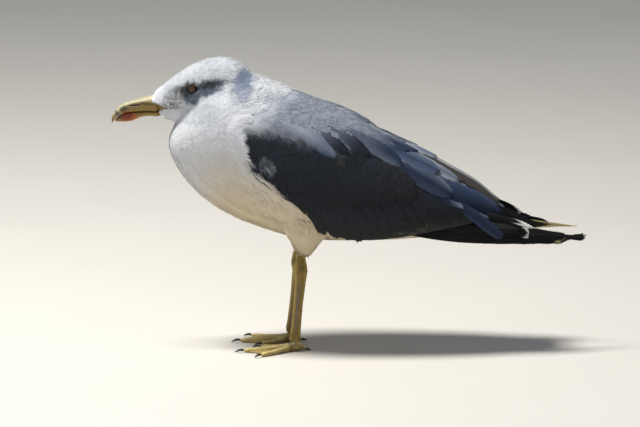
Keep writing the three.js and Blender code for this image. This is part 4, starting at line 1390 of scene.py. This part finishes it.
# painted shade and light: the tertial tone is their dark navy in shade, and TERTIAL_LIT is a lit copy of
# it
TERTIAL_IN_SHADE = srgb("1A2740")
TERTIAL_LIT = srgb("3D4E6C")
TIP_WHITE = srgb("E6E4DC")
TIP_CREAM = srgb("77705A")
QUILL_BLACK = srgb("0D0C0E")
QUILL_BROWN = srgb("433F3D")
STRAW = srgb("D6C894")
EDGE_PALE = srgb("717A8A")
FAR_LIT = srgb("BFC5CE")
SHAFT_DARK = srgb("1F2228")
SHAFT_BROWN = srgb("3A3532")
SHAFT_PALE = srgb("D8D4C8")

SCAPULARS = (  # root, tip, half width and look, each place as (y, z), the lowest laid first
    ((-62, 249), (-3, 210.5), 8.5, "buff"),
    ((-54, 260), (0, 224), 9.5, "shaded"),
    ((-38, 262), (22, 222), 10, "shaded"),
    ((-22, 258), (58, 210), 10, "long"),
    ((-10, 266), (66, 221), 10, "upper"),
    ((10, 258), (76, 222), 9, "upper"),
    ((-76, 261), (-14, 220.5), 8.5, "lobe"),
    ((-46, 272), (14, 240), 8.5, "mantle"),
    ((-22, 270), (48, 235), 9, "mantle"),
)
SCAPULAR_LOOKS = {
    "buff": dict(tone=BUFF, edge_tone=BUFF * 1.2, root_tone=COVERT_IN_SHADE),
    "shaded": dict(tone=COVERT_IN_SHADE * 0.9, root_tone=LOBE_GREY * 0.8),
    "lobe": dict(tone=LOBE_GREY, root_tone=MANTLE, edge_tone=TERTIAL_LIT * 0.7, edges=(0.9, 0.1)),
    "long": dict(tone=TERTIAL_IN_SHADE * 1.1, root_tone=LOBE_GREY * 0.8, edge_tone=EDGE_PALE, edges=(0.75, 0.0)),
    "upper": dict(tone=TERTIAL_IN_SHADE * 1.3, root_tone=MANTLE, edge_tone=LOBE_GREY, edges=(0.1, 0.7)),
    "mantle": dict(tone=LOBE_GREY, root_tone=MANTLE, edge_tone=MANTLE, edges=(0.1, 0.9)),
}
TERTIALS = (  # root, tip, half width, bow, lift at root and tip, and look, the lowest laid first
    ((88, 180), (130, 161), 2.2, 0, (-0.5, 0.9), "streak"),
    ((104, 170), (152, 150), 2.2, 0, (-0.5, 0.9), "streak"),
    ((44, 209), (178, 147), 12, 1, (-0.5, 1.4), "long"),
    ((42, 217), (111, 177), 9.5, 1, (-0.3, 2.4), "second"),
    ((38, 229), (97, 199), 7.5, 1, (-0.2, 3.0), "first"),
)
TERTIAL_LOOKS = {
    "streak": dict(tone=TERTIAL_IN_SHADE, tip_tone=EDGE_PALE * 1.2, tip_from=0.7, soft=0.25),
    "long": dict(tone=TERTIAL_IN_SHADE, edge_tone=TERTIAL_LIT, edges=(0.0, 0.8), shaft_tone=SHAFT_DARK),
    "second": dict(tone=TERTIAL_IN_SHADE, edge_tone=EDGE_PALE, edges=(0.25, 0.85)),
    "first": dict(tone=TERTIAL_LIT * 0.8, edge_tone=EDGE_PALE, edges=(0.5, 0.8), shaft_tone=SHAFT_DARK),
}
BACK_ROWS = (  # root, tip, half width, lift at root and tip, and look, each place as (y, x)
    ((66, 14), (166, 9), 13, (-0.3, 0.7), "far"),
    ((52, 24), (120, 25), 9, (0.0, 0.8), "far_lit"),
    ((36, 7), (96, 5), 10, (0.2, 1.2), "far_lit"),
    ((22, 20), (78, 22), 9, (0.2, 1.2), "ridge"),
    ((6, 7), (62, 7), 9.5, (0.0, 1.4), "ridge"),
    ((-14, 20), (40, 22), 9, (-0.6, 1.3), "ridge"),
    ((-34, 7), (22, 8), 9.5, (-0.9, 1.3), "ridge"),
)
BACK_LOOKS = {
    "far": dict(tone=QUILL_BROWN, edge_tone=FAR_LIT, edges=(1.0, 0.0), shaft_tone=SHAFT_DARK),
    "far_lit": dict(tone=LOBE_GREY, edge_tone=FAR_LIT, root_tone=MANTLE),
    "ridge": dict(tone=LOBE_GREY * 0.8, root_tone=MANTLE, edge_tone=MANTLE, edges=(0.8, 0.6)),
}


def wing_rows(sheet, back):
    """Coverts, secondaries, tertials and scapulars of the left wing, lowest layer first."""
    vanes = []

    def jitter(amount=1.5):
        return rng.normal(0, amount, 2)

    secondary_tips = along_row(18, (-44, 158), (-20, 133), (10, 128.5), (40, 132), (70, 138), (100, 144),
                               (132, 151), (152, 154))
    secondary_roots = along_row(18, (-72, 208), (-48, 184), (-18, 176), (8, 176), (30, 178), (50, 178),
                                (70, 181), (84, 182))
    for root, tip in zip(secondary_roots, secondary_tips):
        cream = 60 < tip[0] < 90
        vanes.append(laid_vane(
            sheet, root, tip + jitter(), 8.5, (-0.6, -0.1), roll=0.3, bow=3, blunt=0.72, fray=0.2,
            tone=COVERT_LOW_IN_SHADE, root_tone=COVERT_IN_SHADE, tip_tone=mix(TIP_CREAM, BUFF, 0.8) if cream else BUFF * 0.7,
            tip_from=0.97, shaft_tone=SHAFT_DARK, soft=0.04))
    greater_roots = along_row(17, (-88, 214), (-40, 190), (18, 178), (64, 190))
    greater_tips = along_row(17, (-66, 180), (-18, 155), (40, 147), (98, 162))
    for root, tip in zip(greater_roots, greater_tips):
        vanes.append(laid_vane(
            sheet, root, tip + jitter(), 8, (-0.4, 0.15), roll=0.3, bow=2, blunt=0.66, fray=0.15,
            tone=mix(COVERT_IN_SHADE, COVERT_LOW_IN_SHADE, 0.5), edge_tone=COVERT_IN_SHADE * 1.25, shaft_tone=SHAFT_DARK))
    median_roots = along_row(16, (-104, 236), (-62, 218), (-2, 206), (42, 210))
    median_tips = along_row(16, (-92, 208), (-48, 190), (16, 178), (64, 186))
    for root, tip in zip(median_roots, median_tips):
        vanes.append(laid_vane(
            sheet, root, tip + jitter(), 8, (-0.4, 0.25), roll=0.3, blunt=0.6, fray=0.15, tone=COVERT_IN_SHADE,
            edge_tone=COVERT_IN_SHADE * 1.2))
    for root, tip, half, lift, look in BACK_ROWS:
        vanes.append(laid_vane(
            back, root, tip, half, lift, blunt=0.6, stations=24, fray=0.08, camber=0.12,
            **BACK_LOOKS[look]))
    # the lowest tertial hangs over the black quills
    vanes.append(free_vane((45, 118, 168), (47, 141, 151), (45, 167, 130), (0, 0.6, 0.78), 6, blunt=0.75,
                           tone=TERTIAL_IN_SHADE, edge_tone=TERTIAL_LIT, shaft_tone=SHAFT_DARK))
    for root, tip, half, bow, lift, look in TERTIALS:
        vanes.append(laid_vane(
            sheet, root, tip, half, lift, roll=-0.3, bow=bow, blunt=0.6, stations=26, fray=0.05,
            hugging=tip[1] > 140, camber=0.17, **TERTIAL_LOOKS[look]))
    for order, (root, tip, half, look) in enumerate(SCAPULARS):
        low = {"buff": -0.2, "mantle": -0.3}.get(look, 0.3 + 0.12 * order)
        vanes.append(laid_vane(
            sheet, root, tip + jitter(0.5), half, (low - 1.0, low + 1.2), roll=0.3, bow=2.5, blunt=0.5,
            stations=22, fray=0.12, hugging=True, camber=0.18, **SCAPULAR_LOOKS[look]))
    return vanes


PRIMARY_PLACES = (  # outermost first: how far the tip stops short, its height, half width, its look
    (0, 124.5, 7.5, "worn"),
    (20, 127.0, 8.5, "plain"),
    (36, 129.5, 8.5, "plain"),
    (62, 132.5, 6, "white"),
    (74, 137.5, 6, "plain"),
)
PRIMARY_LOOKS = {
    "plain": dict(tone=QUILL_BLACK, edge_tone=QUILL_BLACK * 1.8, fray=0.12, blunt=0.6),
    "worn": dict(tone=QUILL_BLACK, bars=((0.845, 0.885, STRAW),), waist=(0.917, 0.6), fray=0.35,
                 blunt=0.86),
    "straw": dict(tone=QUILL_BLACK, tip_tone=STRAW, tip_from=0.85, blunt=0.66, point=1.1, soft=0.015),
    "white": dict(tone=QUILL_BLACK, tip_tone=TIP_WHITE, tip_from=0.93, blunt=0.88, soft=0.008),
    "streak": dict(tone=QUILL_BLACK, tip_tone=TIP_WHITE, tip_from=0.84, blunt=0.7, soft=0.05),
    "spot": dict(tone=QUILL_BLACK, tip_tone=TIP_WHITE, tip_from=0.985, blunt=0.6, soft=0.01),
}


def wing_tip(side, mirror):
    """The long black quills behind a folded wing, worn and bleached at their ends."""
    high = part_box(f"primaries_{side}")[1].y / MM
    right = side == "right"
    rise = 9.5 if right else 0.0  # the right wing's tip lies higher, so it shows past the left one
    vanes = []
    for index, (short, height, half, look) in enumerate(PRIMARY_PLACES):
        if right:
            look = {"worn": "straw", "white": "plain"}.get(look, look)
        if right and look == "plain":
            short += 12
        if look == "worn":
            # its web is worn down to loose slips at the end
            for slip in range(7):
                spread = 0.9 * (slip - 3)
                vanes.append(free_vane(
                    (10.5, high - 16, height + 0.4 * spread), (9.5, high - 7, height + 0.8 * spread),
                    (9, high + rng.uniform(-4, 1.5), height + 1.15 * spread), (-0.45, 0, 0.9), 0.9,
                    stations=8, **PRIMARY_LOOKS["plain"]))
        # each quill lies outside the one below it
        vanes.append(free_vane(
            (42.5 - 1.6 * index, 66, 136 + 2.6 * index),
            (36 + 0.9 * index, 158, 129 + 2.8 * index + rise / 2),
            (9 + 0.27 * short + 1.2 * index, high - short, height + rise),
            (-0.45, 0, 0.9), half, stations=34, shaft_tone=SHAFT_BROWN, **PRIMARY_LOOKS[look]))
    # the innermost black quill rises to meet the tertials, and a thin one with a white end slants over it
    inner_tip = (15, 190, 147.5) if right else (18, 205, 139)
    vanes.append(free_vane((30, 96, 170), (24, 150, 160), inner_tip, (-0.3, 0, 0.95), 6.5,
                           shaft_tone=SHAFT_DARK, **PRIMARY_LOOKS["spot" if right else "plain"]))
    vanes.append(free_vane((34, 110, 160), (35, 160, 152.5), (34, 202, 139), (-0.45, 0, 0.9), 2.6,
                           **PRIMARY_LOOKS["streak"]))
    feather_piece(f"wing_tip_{side}", vanes, BLACK_QUILLS, "quill_black", mirror, 0.5,
                  [f"primaries_{side}"])
    fringe_piece(f"tip_barbs_{side}", vanes, 2.0, BLACK_QUILLS, "quill_black", mirror)


def tail_feathers():
    """Twelve white tail feathers, folded under the wing tips."""
    vanes = []
    for place in np.arange(-5.5, 6):
        out = abs(place)
        vanes.append(free_vane(
            (2.2 * place, 90, 137 - 0.5 * out), (3.0 * place, 140, 132.4 - 0.6 * out),
            (3.5 * place, 180 - 0.7 * out, 128 - 0.7 * out), (1, 0, -0.07 * place), 7, blunt=0.72,
            tone=WHITE, shaft_tone=SHAFT_PALE))
    feather_piece("tail_feathers", vanes, WHITE_QUILLS, "feather_white", 1, 0.4, ["tail"])


# ---- bill, eyes and claws ---------------------------------------------------

HORN_GOLD = srgb("8F7331")
HORN_TAN = srgb("A0966B")
HORN_PALE = srgb("B9B189")
HORN_BLACK = srgb("1F2226")
GONYS_RED = srgb("842607")
GONYS_ORANGE = srgb("A8540F")
GAPE_YELLOW = srgb("AA843C")


def oval(places, centre, size, tilt=0.0, seed=0, edge=0.12):
    """1 inside an oval in the (y, z) plane, fading out over its edge."""
    turn = math.radians(tilt)
    y, z = places[:, 1] - centre[0], places[:, 2] - centre[1]
    along = (y * math.cos(turn) + z * math.sin(turn)) / size[0]
    over = (z * math.cos(turn) - y * math.sin(turn)) / size[1]
    away = np.hypot(along, over) + edge * mottle(places, 1.6, seed)
    return 1 - ramp(0.75, 1.2, away)


def bill_half(name):
    """One half of the bill: smooth horn with a nostril slit, a cutting edge and its marks."""
    mesh = remeshed([name], 0.5, 5, swell=0.25)
    places = places_of(mesh)
    normals = normals_of(mesh)
    y, z = places[:, 1], places[:, 2]
    upper = name == "bill_upper"
    tone = np.broadcast_to(HORN_GOLD, places.shape).copy()
    if upper:
        slit = oval(places, (-234, 270.4), (6.5, 1.0), 5, 31, 0.0)
        hollow = oval(places, (-230, 270.4), (13, 2.8), 5, 32, 0.05)
        places -= normals * (1.5 * slit + 0.3 * hollow)[:, None]
        under_ridge = z - (276.5 - 0.0115 * np.maximum(0, -219 - y) ** 2)
        tone = mix(tone, HORN_TAN, 0.9 * ramp(-4.5, 1.0, under_ridge + mottle(places, 3.0, 38)))
        tone = mix(tone, HORN_PALE, 0.85 * ramp(0.5, 3.5, under_ridge))
        tone = mix(tone, HORN_PALE, 0.9 * (1 - ramp(-256, -246, y)) * ramp(256, 264, z))
        tone = mix(tone, HORN_BLACK, 0.8 * oval(places, (-246.5, 266.6), (4.2, 2.6), 28, 33, 0.45))
        tone = mix(tone, HORN_BLACK, 0.5 * oval(places, (-238, 269.3), (8, 1.5), 12, 34, 0.4))
        # painted shadow: a dark strip along the side of the bill just below its feathered base
        tone = mix(tone, HORN_BLACK, 0.7 * oval(places, (-221, 272.3), (9, 1.3), -3, 39, 0.3))
        tone = mix(tone, HORN_BLACK, 0.9 * slit)
        tone = mix(tone, HORN_BLACK, 0.7 * oval(places, (-253.5, 259.5), (2.2, 5.5), 28, 35, 0.3))
        tone = mix(tone, GONYS_RED, 0.55 * oval(places, (-244, 262.6), (6, 1.6), 0, 40, 0.4))
    else:
        tone = mix(tone, GAPE_YELLOW, 0.8 * (1 - ramp(256, 260, z)) * ramp(-242, -228, y))
        tone = mix(tone, GONYS_ORANGE, 0.9 * oval(places, (-241, 257.5), (11, 5.5), 6, 42, 0.5))
        tone = mix(tone, GONYS_RED, 0.9 * oval(places, (-243.5, 257), (6.5, 3.4), 8, 36, 0.6))
        tone = mix(tone, HORN_BLACK, 0.45 * oval(places, (-241, 259), (4, 1.0), 12, 43, 0.6))
        tone = mix(tone, HORN_BLACK, 0.6 * oval(places, (-251, 257.5), (3, 3.5), 0, 37, 0.4))
        seam = np.exp(-((places[:, 0] / 0.5) ** 2)) * (normals[:, 2] < -0.3) * ramp(-236, -228, y)
        places -= normals * (0.5 * seam)[:, None]
    move_to(mesh, places)
    dye(mesh, tone)
    piece = shown(mesh, name + "_horn", HORN)
    settle_piece(piece, "bill", name)


def eye_ball(side, mirror):
    """The eyeball, a little fuller over the cornea."""
    ball = bmesh.new()
    bmesh.ops.create_uvsphere(ball, u_segments=48, v_segments=28, radius=EYE_RADIUS - 0.15)
    bmesh.ops.rotate(ball, verts=ball.verts, matrix=Matrix.Rotation(math.pi / 2, 3, "Y"))
    for vert in ball.verts:
        radius = math.hypot(vert.co.y, vert.co.z)
        vert.co.x += mirror * 0.25 * float(1 - ramp(1.5, 4.0, radius)) * (vert.co.x * mirror > 0)
    centre = (mirror * EYE[0], EYE[1], EYE[2])
    bmesh.ops.translate(ball, verts=ball.verts, vec=centre)
    bmesh.ops.scale(ball, verts=ball.verts, vec=(MM, MM, MM))
    mesh = as_mesh(ball, f"eyeball_{side}")
    smooth_shaded(mesh)
    piece = shown(mesh, f"eyeball_{side}", iris_and_pupil(f"wet_eye_{side}", centre))
    settle_piece(piece, "iris", f"eye_{side}")


CLAW_DARK = srgb("2B241F")
CLAW_WORN = srgb("6A5A45")


def claw_horn(name):
    """A claw of dark horn, worn paler in patches."""
    mesh = remeshed([name], 0.35, 5, swell=0.15)
    tone = np.broadcast_to(CLAW_DARK, (len(mesh.vertices), 3))
    dye(mesh, mix(tone, CLAW_WORN, 0.4 * ramp(-0.2, 0.6, mottle(places_of(mesh), 1.6, 41))))
    piece = shown(mesh, name + "_horn", CLAW_HORN)
    settle_piece(piece, "claw", name)


# ---- studio -----------------------------------------------------------------


def lamp(name, place, aim, size, power, colour):
    """A round soft light: size in metres across, power in watts."""
    data = bpy.data.lights.new(name, "AREA")
    data.shape = "DISK"
    data.size = size
    data.energy = power
    data.color = srgb(colour)
    lit = bpy.data.objects.new(name, data)
    lit.location = place
    lit.rotation_euler = (Vector(aim) - Vector(place)).to_track_quat("-Z", "Y").to_euler()
    bpy.context.scene.collection.objects.link(lit)


def studio():
    """A pale floor, a high key light, a broad cool fill and a dim even sky."""
    floor = bmesh.new()
    bmesh.ops.create_grid(floor, x_segments=2, y_segments=2, size=20)
    mesh = as_mesh(floor, "floor")
    shown(mesh, "floor", swept_floor("pale_studio_floor"))
    middle = (CAD_BOX[0] + CAD_BOX[1]) / 2
    lamp("key", middle + Vector((0.16, -0.95, 2.4)), middle, 0.7, 104, "FFFDF8")
    lamp("fill", middle + Vector((2.6, -0.6, 0.9)), middle, 2.4, 8, "E4ECFF")
    world = bpy.data.worlds.new("studio")
    bpy.context.scene.world = world
    world.use_nodes = True
    sky = world.node_tree.nodes["Background"]
    sky.inputs["Color"].default_value = rgba("DDE4EE")
    sky.inputs["Strength"].default_value = 0.27


CAMERA_AWAY = 6.0  # metres, a long lens from afar
VIEW_WIDTH = 0.704  # metres across the picture at the bird
AIM_AHEAD = 31.6
AIM_HEIGHT = 149.0
CAMERA_LIFT = 10  # degrees above level


def camera():
    data = bpy.data.cameras.new("camera")
    data.sensor_width = 36
    data.lens = data.sensor_width * CAMERA_AWAY / VIEW_WIDTH
    eye = bpy.data.objects.new("camera", data)
    aim = Vector((0, -AIM_AHEAD * MM, AIM_HEIGHT * MM))
    tilt = math.radians(CAMERA_LIFT)
    eye.location = aim + CAMERA_AWAY * Vector((math.cos(tilt), 0, math.sin(tilt)))
    eye.rotation_euler = (aim - eye.location).to_track_quat("-Z", "Y").to_euler()
    bpy.context.scene.collection.objects.link(eye)
    bpy.context.scene.camera = eye


# ---- making the bird --------------------------------------------------------

HORN = horn("waxy_bill_horn", 0.5, 0.1)
CLAW_HORN = horn("worn_claw_horn", 0.4, 0.15)
WHITE_DOWN = down("white_down", 0.8, 0.12, 0.05)
GREY_DOWN = down("grey_contour_feathers", 0.72, 0.05, 0.1)
GREY_QUILLS = quill_vane("grey_wing_feathers", 0.62, 0.9)
BLACK_QUILLS = quill_vane("black_wing_tip_quills", 0.5, 0.8)
WHITE_QUILLS = quill_vane("white_tail_feathers", 0.65, 0.8)
bird_skin()
white_coat()
flank_fringe()
grey_coat()
SIDE_SHEET = SideSheet()
BACK_SHEET = BackSheet()
for side, mirror in SIDES:
    rows = wing_rows(SIDE_SHEET, BACK_SHEET)
    feather_piece(f"wing_feathers_{side}", rows, GREY_QUILLS, "feather_grey", mirror)
    fringe_piece(f"wing_barbs_{side}", rows, 2.6, GREY_QUILLS, "feather_grey", mirror)
    wing_tip(side, mirror)
tail_feathers()
bill_half("bill_upper")
bill_half("bill_lower")
for side, mirror in SIDES:
    eye_ball(side, mirror)
    for toe in ("inner", "middle", "outer", "hind"):
        claw_horn(f"claw_{toe}_{side}")
studio()
camera()
bpy.context.scene.view_settings.view_transform = "Standard"
